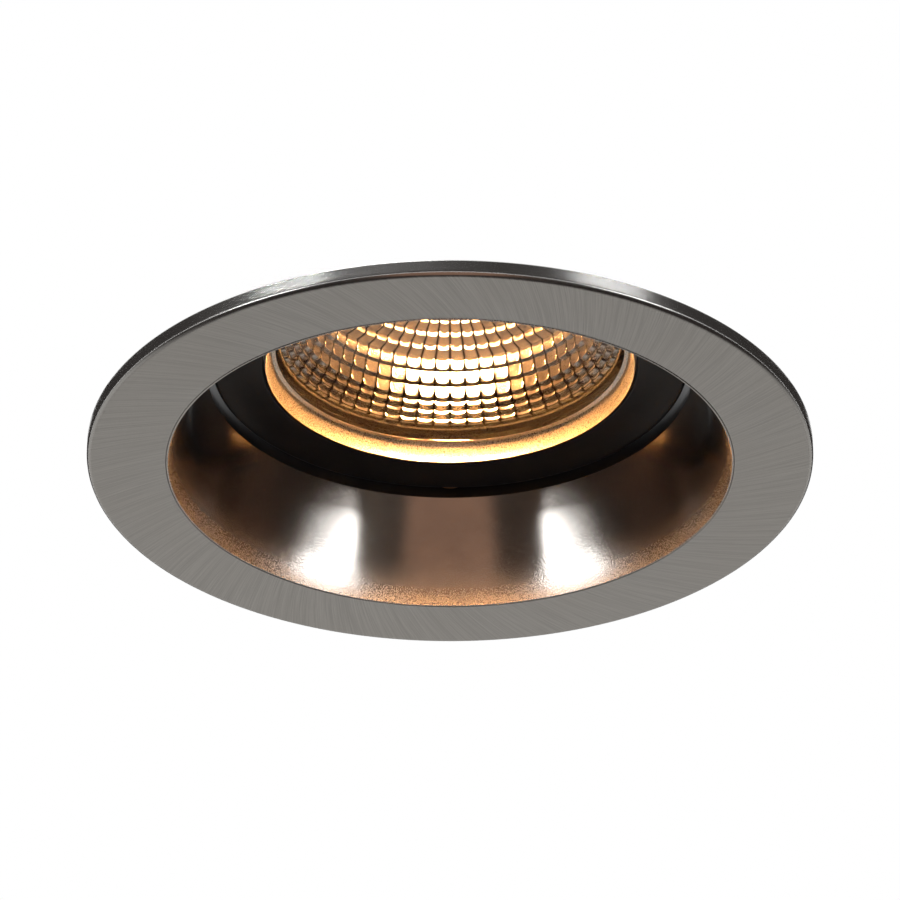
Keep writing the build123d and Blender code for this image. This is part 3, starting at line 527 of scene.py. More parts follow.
def led_phosphor(f):
    """Lit phosphor inside a white dam."""
    lamp = bpy.context.scene.spot_lamp
    *_, radius = f.round_place()
    grain = f.noise(f.mm, 6.0, 3.0)
    dam = f.band(radius, DAM, DAM + 0.2)
    lit = f.tint(f.band(grain, 0.3, 0.7) * 0.2, tuple(lamp.led_colour), (1.0, 0.68, 0.33))
    tone = f.tint(dam, (0.9, 0.62, 0.12), (0.8, 0.8, 0.78))
    glow = f.tint(dam, lit, (0.0, 0.0, 0.0))
    rough = 0.4 + (grain - 0.5) * 0.2
    relief = f.bump(grain, 0.00003, 0.5)
    return f.coated(tone, rough, relief, Emission_Color=glow, Emission_Strength=lamp.led_strength)


def board_white(f):
    """White solder mask on a metal-core board."""
    mask = f.noise(f.mm, 1.5, 3.0)
    fine = f.noise(f.mm, 10.0, 2.0)
    tone = f.tint(f.band(mask, 0.3, 0.7), (0.76, 0.76, 0.74), (0.84, 0.84, 0.825))
    rough = 0.42 + (fine - 0.5) * 0.2
    return f.coated(tone, rough, f.bump(fine, 0.00002, 0.5))


def grey_anodised(f):
    """Blasted and anodised aluminium, paler where its edges are rubbed."""
    lamp = bpy.context.scene.spot_lamp
    grain = f.noise(f.mm, 5.0, 3.0, 0.6)
    cloud = f.noise(f.mm, 0.35, 3.0, 0.55)
    drag = f.noise(f.stretch(f.mm, (0.05, 0.05, 1.0)), 3.2, 3.0, 0.6)
    wear = f.worn(0.55, 0.5)
    base = tuple(lamp.sink_colour)
    tone = f.tint(f.band(cloud, 0.3, 0.72), shaded(base, 0.95), shaded(base, 1.04))
    tone = f.tint(f.band(drag, 0.35, 0.65) * 0.3, tone, shaded(base, 0.78))
    tone = f.tint(wear, tone, (0.66, 0.66, 0.66))
    rough = 0.42 + (grain - 0.5) * 0.18 + (drag - 0.5) * 0.08 - wear * 0.1
    relief = f.bump(grain * 0.4 + drag * 0.6, 0.00004, 0.6)
    return f.coated(tone, rough, relief, Metallic=0.92)


def lead_insulation(f):
    """Red silicone insulation."""
    rub = f.noise(f.mm, 1.2, 4.0, 0.6)
    fine = f.noise(f.mm, 11.0, 2.0)
    tone = f.tint(f.band(rub, 0.3, 0.75), (0.36, 0.03, 0.022), (0.55, 0.075, 0.055))
    rough = 0.5 + (rub - 0.5) * 0.24
    return f.coated(tone, rough, f.bump(fine, 0.00002, 0.5))


def brass(f):
    """Turned brass with a brown tarnish."""
    tarnish = f.noise(f.mm, 0.9, 4.0, 0.6)
    turning = f.noise(f.stretch(f.mm, (1.0, 1.0, 8.0)), 2.5, 1.0)
    wear = f.worn(0.6, 0.8)
    tone = f.tint(f.band(tarnish, 0.35, 0.75), (0.68, 0.5, 0.22), (0.42, 0.28, 0.11))
    tone = f.tint(wear, tone, (0.8, 0.64, 0.34))
    rough = 0.28 + (tarnish - 0.5) * 0.25
    return f.coated(tone, rough, f.bump(turning, 0.00002, 0.5), Metallic=1.0)


def black_plastic(f):
    """Black glass-filled plastic with a moulded grain and pale rubbed edges."""
    texture = f.noise(f.mm, 4.5, 3.0, 0.6)
    cloud = f.noise(f.mm, 0.3, 4.0, 0.6)
    wear = f.worn(0.42, 0.7)
    tone = f.tint(f.band(cloud, 0.3, 0.7), (0.016, 0.016, 0.017), (0.034, 0.034, 0.035))
    tone = f.tint(wear, tone, (0.11, 0.11, 0.11))
    rough = 0.5 + (texture - 0.5) * 0.2 + (cloud - 0.5) * 0.1
    return f.coated(tone, rough, f.bump(texture, 0.00005, 0.7), Specular_IOR_Level=0.3)


FINISHES = {
    make.__name__: make
    for make in (
        brushed_nickel, satin_nickel, black_coat, zinc_steel, spring_steel, black_rubber, grey_silicone,
        fibre_washer, clear_glass, bright_reflector, white_plastic, led_phosphor, board_white,
        grey_anodised, lead_insulation, brass, black_plastic,
    )
}
made_finishes = {}


def finish_of(slot):
    """The finish of a material slot, made once."""
    if slot not in made_finishes:
        made_finishes[slot] = FINISHES[slot](Finish(slot.replace("_", " ")))
    return made_finishes[slot]


def slot_of(node):
    """The material slot of a CAD node."""
    return NODES[node].data.materials[0].name


def settle(piece, *nodes, rides=True):
    """Gives a piece the finish of the nodes it stands for, hides them and rides on their body."""
    slot = slot_of(nodes[0])
    piece.data.materials.clear()
    piece.data.materials.append(finish_of(slot))
    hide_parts(*nodes)
    if rides:
        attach(piece, NODES[nodes[0]]["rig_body"])
    return piece


def rounded(corners, radii, steps=5):
    """A closed outline: each corner becomes an arc that touches both its sides.

    Returns the points, and for the run after each point 1 where it lies on an arc. A guard point
    stands just off each end of an arc, so that the flat side beside it shades flat.
    """
    corners = np.asarray(corners, float)
    points, arcs = [], []
    for here, back, ahead, radius in zip(corners, np.roll(corners, 1, 0), np.roll(corners, -1, 0), radii):
        to_back = (back - here) / np.linalg.norm(back - here)
        to_ahead = (ahead - here) / np.linalg.norm(ahead - here)
        half = np.arccos(np.clip(to_back @ to_ahead, -1, 1)) / 2
        reach = radius / np.tan(half)
        first, last = here + to_back * reach, here + to_ahead * reach
        middle = to_back + to_ahead
        centre = here + middle / np.linalg.norm(middle) * radius / np.sin(half)
        sweep = pi - 2 * half
        t = np.linspace(0, 1, steps + 1)[:, None]
        arc = centre + (np.sin((1 - t) * sweep) * (first - centre) + np.sin(t * sweep) * (last - centre)) / sin(sweep)
        guard = 0.25 * reach
        points += [first + to_back * guard, *arc, last + to_ahead * guard]
        arcs += [0.0] + [1.0] * steps + [0.0, 0.0]
    return np.array(points), np.array(arcs)


def turned(outline, columns):
    """An outline of (radius, height) carried round Z: x = r cos a, y = r sin a, z = h."""
    angle = np.linspace(0, 2 * pi, columns, endpoint=False)
    r, h = outline[:, :1], outline[:, 1:2]
    return np.stack([r * np.cos(angle), r * np.sin(angle), h + 0 * angle], -1)


def swept(path, up, ring):
    """A closed ring of (side, up) points carried along a path.

    At each point of the path the ring stands square to the path's tangent, with its second axis
    as near as it can be to the given up direction.
    """
    path = np.asarray(path, float)
    tangent = np.gradient(path, axis=0)
    tangent /= np.linalg.norm(tangent, axis=1, keepdims=True)
    side = np.cross(tangent, np.broadcast_to(up, path.shape))
    side /= np.linalg.norm(side, axis=1, keepdims=True)
    rise = np.cross(side, tangent)
    return path[:, None] + side[:, None] * ring[None, :, :1] + rise[:, None] * ring[None, :, 1:2]


def round_ring(radius, count):
    """Points of a circle, as (side, up)."""
    angle = np.linspace(0, 2 * pi, count, endpoint=False)
    return radius * np.stack([np.cos(angle), np.sin(angle)], -1)


def capped(grid):
    """A tube's grid of rings with a rounded end at both ends, closed to a point."""
    first, last = grid[0].mean(0), grid[-1].mean(0)
    out_first = first - grid[1].mean(0)
    out_last = last - grid[-2].mean(0)
    radius = np.linalg.norm(grid[0, 0] - first)
    out_first *= radius / np.linalg.norm(out_first)
    out_last *= radius / np.linalg.norm(out_last)
    turn = np.linspace(0, pi / 2, 5)[1:, None, None]
    start = first + (grid[0] - first) * np.cos(turn) + out_first * np.sin(turn) * 0.5
    end = last + (grid[-1] - last) * np.cos(turn) + out_last * np.sin(turn) * 0.5
    return np.concatenate([start[::-1], grid, end])


def squared(wave, power):
    """A sine or cosine to a power below 1, with its sign kept, which makes a round outline squarer."""
    return np.sign(wave) * np.abs(wave) ** power


def grid_faces(rows, columns, closes):
    """Corners of the four-sided faces of a grid: its columns always close, and its rows where asked."""
    row = np.arange(rows if closes else rows - 1)[:, None]
    column = np.arange(columns)[None, :]
    ahead, beside = (row + 1) % rows, (column + 1) % columns
    corners = [row * columns + column, row * columns + beside, ahead * columns + beside, ahead * columns + column]
    return np.stack(corners, -1).reshape(-1, 4)


def piece_of(name, *shells, crease=40):
    """One mesh from grids of points in millimetres; each cell of a grid becomes a four-sided face.

    A shell is (grid, whether its rows close, marks or None). Columns always close. A mark for each row of faces, or
    for each face, goes to the edge wear attribute, which also carries the painted shade of the reflector's seams.
    Points that meet at a pole are merged, and the faces are turned outwards.
    faces are turned outwards.
    """
    points, faces, wear, offset = [], [], [], 0
    for grid, closes, marks in shells:
        rows, columns = grid.shape[:2]
        bands = rows if closes else rows - 1
        faces.append(grid_faces(rows, columns, closes) + offset)
        marks = np.zeros(bands) if marks is None else np.asarray(marks)[:bands]
        wear.append(np.broadcast_to(marks.reshape(bands, -1), (bands, columns)).ravel())
        points.append(grid.reshape(-1, 3))
        offset += rows * columns
    mesh = bpy.data.meshes.new(name)
    mesh.from_pydata(np.concatenate(points) * MM, [], np.concatenate(faces))
    # The face attribute carries edge wear, and the painted shade of the reflector's seams
    layer = mesh.attributes.new(EDGE_WEAR_AND_SEAM_SHADE, "FLOAT", "FACE")
    layer.data.foreach_set("value", np.concatenate(wear).astype(np.float32))
    work = bmesh.new()
    work.from_mesh(mesh)
    bmesh.ops.remove_doubles(work, verts=work.verts, dist=1e-8)
    bmesh.ops.dissolve_degenerate(work, edges=work.edges, dist=1e-9)
    bmesh.ops.recalc_face_normals(work, faces=work.faces)
    work.to_mesh(mesh)
    work.free()
    return shown(mesh, name, crease)


def shown(mesh, name, crease):
    """Puts a mesh in the scene, smooth up to a crease angle in degrees."""
    mesh.polygons.foreach_set("use_smooth", np.ones(len(mesh.polygons), bool))
    mesh.set_sharp_from_angle(angle=radians(crease))
    piece = bpy.data.objects.new(name, mesh)
    bpy.context.scene.collection.objects.link(piece)
    return piece


def turned_piece(name, node, outline, columns, marks=None):
    """A closed outline carried round Z, which stands for a CAD node."""
    return settle(piece_of(name, (turned(outline, columns), True, marks)), node)


def eased(node, width, crease=32):
    """A copy of a CAD node whose edges sharper than a crease angle are eased by a width in millimetres."""
    mesh = NODES[node].data.copy()
    mesh.name = f"{node}_eased"
    if "custom_normal" in mesh.attributes:
        mesh.attributes.remove(mesh.attributes["custom_normal"])
    work = bmesh.new()
    work.from_mesh(mesh)
    wear = work.faces.layers.float.new(EDGE_WEAR_AND_SEAM_SHADE)
    bmesh.ops.remove_doubles(work, verts=work.verts, dist=1e-6)
    bmesh.ops.dissolve_limit(work, angle_limit=radians(0.5), verts=work.verts, edges=work.edges)
    sharp = [edge for edge in work.edges if len(edge.link_faces) == 2 and edge.calc_face_angle() > radians(crease)]
    made = bmesh.ops.bevel(
        work, geom=sharp, offset=width * MM, offset_type="OFFSET", segments=2, profile=0.5,
        affect="EDGES", clamp_overlap=True, material=-1, loop_slide=True,
    )
    for face in made["faces"]:
        face[wear] = 1.0
    work.to_mesh(mesh)
    work.free()
    return settle(shown(mesh, f"{node}_eased", crease), node)


class SPOTLIGHT_OT_trim_ring(bpy.types.Operator):
    """Turns the flange and its spigot, with a rounded front edge"""

    bl_idname = "spotlight.trim_ring"
    bl_label = "Trim Ring"

    def execute(self, context):
        trim = context.scene.spot_trim
        edge, bore = trim.flange_radius / MM, trim.bore_radius / MM
        face, top = trim.face_height / MM, trim.spigot_height / MM
        spigot, inner, ledge, under = bore + 3.5, bore + 2.0, bore + 0.1, top - 3.5
        groove_in, groove_out, groove = spigot + 0.5, edge - 0.8, -1
        corners = [
            (bore, face), (edge, face), (edge, 0), (groove_out, 0), (groove_out, groove), (groove_in, groove),
            (groove_in, 0), (spigot, 0), (spigot, top), (ledge, top), (ledge, under), (inner, under), (inner, 0),
            (bore, 0),
        ]
        radii = [0.15, trim.edge_round / MM, 0.15, 0.08, 0.08, 0.08, 0.08, 0.15, 0.25, 0.2, 0.15, 0.15, 0.15, 0.1]
        outline, arcs = rounded(corners, radii, 6)
        turned_piece("trim_flange", "trim_ring", outline, 320, arcs)
        return {"FINISHED"}


class SPOTLIGHT_OT_ceiling_gasket(bpy.types.Operator):
    """Lays the foam gasket in its groove; its top falls to both sides by the fourth power"""

    bl_idname = "spotlight.ceiling_gasket"
    bl_label = "Ceiling Gasket"

    def execute(self, context):
        outer, base, top = round_box("ceiling_gasket")
        inner, drop = context.scene.spot_trim.bore_radius / MM + 4.1, 0.28
        t = np.linspace(0, 1, 25)
        crown = np.stack([outer + (inner - outer) * t, top - drop * (2 * t - 1) ** 4], -1)
        outline = np.concatenate([[(inner, base), (outer, base)], crown])
        turned_piece("foam_gasket", "ceiling_gasket", outline, 200)
        return {"FINISHED"}


class SPOTLIGHT_OT_reflector_cone(bpy.types.Operator):
    """Spins the deep cone, whose inside follows a shallow parabola from mouth to throat"""

    bl_idname = "spotlight.reflector_cone"
    bl_label = "Reflector Cone"

    def execute(self, context):
        trim = context.scene.spot_trim
        face, lip = trim.face_height / MM, trim.spigot_height / MM
        mouth, belly, taper, wall = trim.bore_radius / MM - 0.2, 0.22, 4.7, 0.8
        roll, roll_run = 0.05, 0.12
        throat_z, rim = lip + wall, mouth + 3.5
        t = np.linspace(0, 1, 65)
        lip_turn = roll * np.clip(1 - t / roll_run, 0, 1) ** 2
        inside = np.stack([mouth - taper * t + 4 * belly * t * (1 - t) - lip_turn, face + (throat_z - face) * t], -1)
        throat, skirt = mouth - taper, mouth + 0.15
        back = [
            (throat + 0.15, throat_z + 0.02), (rim, throat_z), (rim, lip), (throat + wall, lip),
            (throat + wall + 1.9, lip - 4.0), (skirt, face + 1.6), (skirt, face + 0.06), (mouth + 0.08, face),
        ]
        outline = np.concatenate([inside, back])
        turned_piece("deep_cone", "reflector_cone", outline, 320)
        return {"FINISHED"}


class SPOTLIGHT_OT_gimbal_ring(bpy.types.Operator):
    """Turns the black ring and its collar, with the collar's notch and the two pivot bosses"""

    bl_idname = "spotlight.gimbal_ring"
    bl_label = "Gimbal Ring"

    def execute(self, context):
        edge, front, top = round_box("gimbal_ring")
        back, collar, bore, lip = front + 2.2, edge - 3.4, edge - 5.4, edge - 6.6
        notch, groove = front + 7.65, bore + 0.55
        groove_top, notch_half = notch + 1.4, 8
        corners = [
            (lip, front), (edge, front), (edge, back), (collar, back), (collar, top), (bore, top), (bore, groove_top),
            (groove, groove_top), (groove, notch), (bore, notch), (bore, back), (lip, back),
        ]
        radii = [0.22, 0.5, 0.2, 0.3, 0.2, 0.15, 0.06, 0.06, 0.06, 0.06, 0.1, 0.1]
        outline, arcs = rounded(corners, radii, 5)
        grid = turned(outline, 288)
        across, height = np.abs(grid[..., 1]), grid[..., 2]
        open_side = (across < notch_half) & (grid[..., 0] > 0)
        grid[..., 2] = np.where(open_side, np.minimum(height, notch), height)
        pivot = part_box("friction_washers")
        pivot_z = (pivot[0].z + pivot[1].z) / 2 / MM
        boss, hole, axis, floor, root = 3.0, 1.56, 0.02, edge - 3.3, collar - 1.0
        boss_corners = [(hole, floor), (hole, edge), (boss, edge), (boss, root), (axis, root), (axis, floor)]
        boss_outline, boss_arcs = rounded(boss_corners, [0.05, 0.2, 0.2, 0.1, 0.005, 0.005], 4)
        lathe = turned(boss_outline, 64)
        near = np.stack([lathe[..., 0], -lathe[..., 2], lathe[..., 1] + pivot_z], -1)
        far = np.stack([lathe[..., 0], lathe[..., 2], lathe[..., 1] + pivot_z], -1)
        ring = piece_of("black_ring", (grid, True, arcs), (near, True, boss_arcs), (far, True, boss_arcs))
        settle(ring, "gimbal_ring")
        return {"FINISHED"}


class SPOTLIGHT_OT_lamp_front(bpy.types.Operator):
    """Turns the bezel, hollowed by an arc from nose to bore, the flat glass and the seal that holds it"""

    bl_idname = "spotlight.lamp_front"
    bl_label = "Lamp Front"

    def execute(self, context):
        lamp = context.scene.spot_lamp
        skirt, front, top = round_box("lamp_bezel")
        nose, bore, shoulder = skirt - 1.25, skirt - 2.6, front + 2.2
        start, end = np.array([nose - 0.13, front]), np.array([bore + 0.52, front + 2.42])
        chord = end - start
        span = np.linalg.norm(chord)
        outward = np.array([chord[1], -chord[0]]) / span
        radius = span / 2 / sin(lamp.bezel_cove)
        turn = np.linspace(-lamp.bezel_cove, lamp.bezel_cove, 28)[:, None]
        middle = (start + end) / 2 - outward * radius * cos(lamp.bezel_cove)
        cove = middle + radius * (np.sin(turn) * chord / span + np.cos(turn) * outward)
        seat, inner = front + 2.55, skirt - 0.8
        body, _ = rounded(
            [
                (bore, seat), (inner, seat), (inner, top), (skirt, top), (skirt, shoulder), (nose, shoulder),
                (nose, front),
            ],
            [0.01, 0.1, 0.15, 0.15, 0.15, 0.1, 0.06],
        )
        outline = np.concatenate([cove, body])
        turned_piece("coved_bezel", "lamp_bezel", outline, 256)

        rim, base, roof = round_box("front_glass")
        disc, _ = rounded([(0.02, base), (rim, base), (rim, roof), (0.02, roof)], [0.001, 0.2, 0.2, 0.001], 4)
        turned_piece("flat_glass", "front_glass", disc, 160)

        rim, base, roof = round_box("glass_seal")
        ridge, lip, under = rim - 0.9, rim - 2.2, roof - 0.5
        ring, _ = rounded(
            [(ridge, base), (rim, base), (rim, roof), (lip, roof), (lip, under), (ridge, under)],
            [0.1, 0.1, 0.15, 0.15, 0.2, 0.05],
        )
        turned_piece("lip_seal", "glass_seal", ring, 200)
        return {"FINISHED"}


class SPOTLIGHT_OT_lamp_reflector(bpy.types.Operator):
    """Forms the bowl of pillow facets round the LED; each one is a conic from tread to riser"""

    bl_idname = "spotlight.lamp_reflector"
    bl_label = "Lamp Reflector"

    def execute(self, context):
        lamp = context.scene.spot_lamp
        rim, mouth_z, top_z = round_box("lamp_reflector")
        mouth, aperture, wall, depth, low_rows = rim - 2.2, 6.0, 1.0, top_z - mouth_z, 3

        def bowl(at):
            """Radius and height along the bowl: straight runs from a flared mouth by a steep middle to a flat top."""
            bends = np.array([0, low_rows, low_rows + 3, low_rows + 5, lamp.facet_rows]) / lamp.facet_rows
            fall = np.interp(at, bends, [0, 0.12, 0.235, 0.46, 1])
            climb = np.interp(at, bends, [0, 0.2, 0.6, 0.74, 1])
            return mouth + (aperture - mouth) * fall, mouth_z + depth * climb

        rises = np.array([0, 0.35, 0.55, 0.68, 0.78, 0.86, 0.93, 0.97])
        step = np.append(np.repeat(np.arange(lamp.facet_rows), len(rises)), lamp.facet_rows - 1)[:, None]
        u = np.append(np.tile(rises, lamp.facet_rows), 1.0)[:, None]
        places = np.array([0, 0.06, 0.13, 0.28, 0.5, 0.72, 0.87, 0.94])
        v = np.tile(places, lamp.facet_columns)[None, :]
        angle = 2 * pi * (np.repeat(np.arange(lamp.facet_columns), len(places))[None, :] + v) / lamp.facet_columns
        (r0, h0), (r1, h1) = bowl(step / lamp.facet_rows), bowl((step + 1) / lamp.facet_rows)
        tread, low_lean, low_pull = 0.06, radians(2.5), 0.2
        knee_h = h0 + tread * (h1 - h0)
        led_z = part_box("led_emitter")[0].z / MM
        lean = (np.arctan2(led_z - h1, r1) - lamp.facet_aim) / 2 + np.where(step < low_rows, low_lean, 0)
        pull = np.where(step < low_rows, low_pull, 1) * lamp.facet_pull
        knee_r = r1 - np.tan(lean) * (h1 - knee_h)
        weights = np.stack([(1 - u) ** 2, 2 * pull * u * (1 - u), u**2])
        weights /= weights.sum(0)
        flat_r, flat_h = r0 + (r1 - r0) * u, h0 + (h1 - h0) * u
        side = np.abs(2 * v - 1)
        swell = 1 - lamp.facet_side * (0.25 * side**2 + 0.75 * np.clip((side - 0.7) / 0.3, 0, 1) ** 1.5)
        inner_r = flat_r + (weights[0] * r0 + weights[1] * knee_r + weights[2] * r1 - flat_r) * swell
        inner_h = flat_h + (weights[0] * h0 + weights[1] * knee_h + weights[2] * h1 - flat_h) * swell
        inside = np.stack([inner_r * np.cos(angle), inner_r * np.sin(angle), inner_h], -1)
        back_r, back_h = bowl(np.linspace(1, 0, 13))
        flange = mouth_z + 0.85
        back_r = np.concatenate([back_r + wall, [rim, rim]])[:, None]
        back_h = np.concatenate([np.maximum(back_h, flange), [flange, mouth_z]])[:, None]
        outside = np.stack([back_r * np.cos(angle), back_r * np.sin(angle), back_h + 0 * angle], -1)
        grid = np.concatenate([inside, outside])
        # Seam marks for the reflector's finish, which paints the seams near black as the shade between facets
        seam_shade_marks = np.zeros(grid.shape[:2])
        seam_shade_marks[: len(inside) - 1] = np.tile([1.0, 0.35, 0, 0, 0, 0, 0.35, 1.0], lamp.facet_columns)
        settle(piece_of("facet_bowl", (grid, True, seam_shade_marks), crease=24), "lamp_reflector")
        return {"FINISHED"}


class SPOTLIGHT_OT_led(bpy.types.Operator):
    """Places the lit LED with its dam, its board, thermal pad and screwed holder"""

    bl_idname = "spotlight.led"
    bl_label = "LED"

    def execute(self, context):
        rim, front, back = round_box("led_emitter")
        axis, lit = 0.01, front + 0.1
        outline = np.array([
            (axis, lit), (2.5, lit - 0.01), (4.4, lit + 0.02), (DAM, lit), (DAM + 0.15, front + 0.02),
            (DAM + 0.35, front), (DAM + 0.55, front + 0.03), (rim, front + 0.2), (rim, back), (axis, back),
        ])
        turned_piece("lit_led", "led_emitter", outline, 96)

        low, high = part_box("thermal_pad")
        centre, half = (low + high) / 2 / MM, (high - low) / 2 / MM
        turn = np.linspace(0, 2 * pi, 64, endpoint=False)[None, :]
        tip = np.linspace(-pi / 2, pi / 2, 17)[:, None]
        power = 0.18
        # A ball whose sines and cosines are squared, which makes it a block with soft edges
        flat = squared(np.cos(tip), power)
        pad = np.stack([
            centre.x + half.x * flat * squared(np.cos(turn), power),
            centre.y + half.y * flat * squared(np.sin(turn), power),
            centre.z + half.z * squared(np.sin(tip), power) + 0 * turn,
        ], -1)
        settle(piece_of("soft_thermal_pad", (pad, False, None)), "thermal_pad")
        for node in ("led_board", "led_holder", "holder_screws"):
            eased(node, 0.08)
        return {"FINISHED"}


class SPOTLIGHT_OT_carrier(bpy.types.Operator):
    """Eases the carrier ring, its screws, the pivot screws and the friction washers"""

    bl_idname = "spotlight.carrier"
    bl_label = "Carrier"

    def execute(self, context):
        eased("carrier_ring", 0.18)
        for node in ("carrier_screws", "pivot_screws"):
            eased(node, 0.12)
        eased("friction_washers", 0.08)
        return {"FINISHED"}


class SPOTLIGHT_OT_clips(bpy.types.Operator):
    """Eases the clip brackets, pins, rivets and arms"""

    bl_idname = "spotlight.clips"
    bl_label = "Clips"

    def execute(self, context):
        eased("bracket_rivets", 0.15)
        for side in ("left", "right"):
            eased(f"clip_bracket_{side}", 0.12)
            eased(f"clip_pin_{side}", 0.15)
            eased(f"clip_arm_{side}", 0.14)
        return {"FINISHED"}


def clip_place(points, side):
    """Points of the right clip as they are, or turned half round Z for the left clip."""
    return points if side == "right" else points * (-1, -1, 1)


# The right clip in millimetres: its pin, the slope at rest that its arm folds upright from, and the arm's length,
# half width, upper face and sheet
CLIP_FOLD = next(joint for joint in frame["joints"] if joint["name"] == "clip_right_fold")
PIN_X, PIN_Z = (CLIP_FOLD["pos_m"][axis] / MM for axis in (0, 2))
CLIP_SLOPE = radians(CLIP_FOLD["range_deg"][1] - 90)
ARM_LENGTH, ARM_WIDTH, WEB_TOP, WEB = 29.0, 6.2, 1.2, 0.8


class SPOTLIGHT_OT_clip_pads(bpy.types.Operator):
    """Moulds the soft sleeves on the clip tips: squared ellipses along the arm, with a half wave at each rib"""

    bl_idname = "spotlight.clip_pads"
    bl_label = "Clip Pads"

    def execute(self, context):
        wall, long, gap = 1.2, 7.2, 0.05
        tip = ARM_LENGTH + wall
        start = tip - long
        middle = WEB_TOP - WEB / 2
        thick, wide = WEB / 2 + wall, ARM_WIDTH + wall
        run = np.linspace(0, 1, 61)
        groove, ribs, nose, blunt, draw, pole = 0.3, 5, 0.86, 0.25, 1.6, 0.001
        rib = groove * np.clip(np.sin(run * 2 * pi * ribs), 0, 1) ** 0.7 * (run > 0.04) * (run < nose)
        end = np.sqrt(np.clip(1 - ((run - nose) / (1 - nose)).clip(0) ** 2, 0, 1))
        height = (thick - groove + rib) * (blunt + (1 - blunt) * end)
        outer = np.stack([start + run * long, height, wide - (1 - end) * draw], -1)
        deep, half, breadth = ARM_LENGTH + gap, WEB / 2 + gap, ARM_WIDTH + gap
        inner = [(tip, pole, pole), (deep, pole, pole), (deep, half, breadth), (start, half, breadth)]
        stations = np.concatenate([outer, inner])
        turn = np.linspace(0, 2 * pi, 96, endpoint=False)[None, :]
        power = 0.28
        across = stations[:, 2:3] * squared(np.cos(turn), power)
        up = middle + stations[:, 1:2] * squared(np.sin(turn), power)
        along = stations[:, :1] + 0 * turn
        grid = np.stack([
            PIN_X + along * cos(CLIP_SLOPE) + up * sin(CLIP_SLOPE),
            across,
            PIN_Z - along * sin(CLIP_SLOPE) + up * cos(CLIP_SLOPE),
        ], -1)
        for side in ("left", "right"):
            settle(piece_of(f"soft_pad_{side}", (clip_place(grid, side), True, None)), f"clip_pad_{side}")
        return {"FINISHED"}


class SPOTLIGHT_OT_clip_springs(bpy.types.Operator):
    """Winds the torsion springs: a leg on the bracket, a coil round the pin, and a leg that bends down on the arm"""

    bl_idname = "spotlight.clip_springs"
    bl_label = "Clip Springs"

    def execute(self, context):
        wire, coil, pitch, turns, fixed_leg, moving_leg = 0.45, 1.95, 1.4, 4, 4.5, 9.0
        leg_start, bend, hold = 0.2, 6.0, 0.3
        sweep = 2 * pi * turns + CLIP_SLOPE
        angle = np.linspace(0, sweep, 33 * turns)
        first_y = -pitch * sweep / (4 * pi)
        helix = np.stack([
            PIN_X + coil * np.sin(angle), first_y + pitch * angle / (2 * pi), PIN_Z + coil * np.cos(angle)
        ], -1)

        def heading(at):
            way = np.array([coil * cos(at), pitch / (2 * pi), -coil * sin(at)])
            return way / np.linalg.norm(way)

        fixed = helix[0] - heading(0) * np.linspace(fixed_leg, leg_start, 14)[:, None]
        run = np.linspace(leg_start, moving_leg, 26)[:, None]
        ease = np.clip(run / bend, 0, 1)
        up = np.array([sin(CLIP_SLOPE), 0, cos(CLIP_SLOPE)])
        moving = helix[-1] + heading(sweep) * run - up * (coil - wire - WEB_TOP) * ease**2 * (3 - 2 * ease)
        path = np.concatenate([fixed, helix, moving])
        grid = capped(swept(path, (0.0, 1.0, 0.0), round_ring(wire, 18)))
        for side in ("left", "right"):
            spring = piece_of(f"torsion_spring_{side}", (clip_place(grid, side), False, None))
            settle(spring, f"clip_spring_{side}", rides=False)
            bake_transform(spring)
        return {"FINISHED"}


class SPOTLIGHT_OT_heat_sink(bpy.types.Operator):
    """Eases the finned heat sink, and gives its finish to the snap wire that holds it in the ring"""

    bl_idname = "spotlight.heat_sink"
    bl_label = "Heat Sink"

    def execute(self, context):
        eased("heat_sink", 0.22)
        wire = NODES["retaining_clip"]
        wire.material_slots[0].material = finish_of(slot_of("retaining_clip"))
        return {"FINISHED"}


class SPOTLIGHT_OT_wiring(bpy.types.Operator):
    """Runs the two leads up and over by a quarter circle, and eases the terminal block, rear cap and gland"""

    bl_idname = "spotlight.wiring"
    bl_label = "Wiring"

    def execute(self, context):
        low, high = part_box("led_leads")
        wire, bend, inner = 0.6, 1.4, 5.5
        out, foot, level = high.y / MM - wire, low.z / MM, high.z / MM - wire
        turn = np.linspace(0, pi / 2, 13)
        rise = np.linspace(foot, level - bend, 8)[:-1]
        curve = np.stack([0 * turn, out - bend + bend * np.cos(turn), level - bend + bend * np.sin(turn)], -1)
        run = np.linspace(out - bend, inner, 5)[1:]
        path = np.concatenate([
            np.stack([0 * rise, 0 * rise + out, rise], -1), curve, np.stack([0 * run, run, 0 * run + level], -1)
        ])
        tube = swept(path, (1.0, 0.0, 0.0), round_ring(wire, 14))
        shells = [(capped(tube * (1, way, 1)), False, None) for way in (-1, 1)]
        settle(piece_of("insulated_leads", *shells), "led_leads")
        for node in ("terminal_block", "terminal_screws", "gland_locknut"):
            eased(node, 0.12)
        eased("rear_cap", 0.15)
        eased("cable_gland", 0.2)
        return {"FINISHED"}


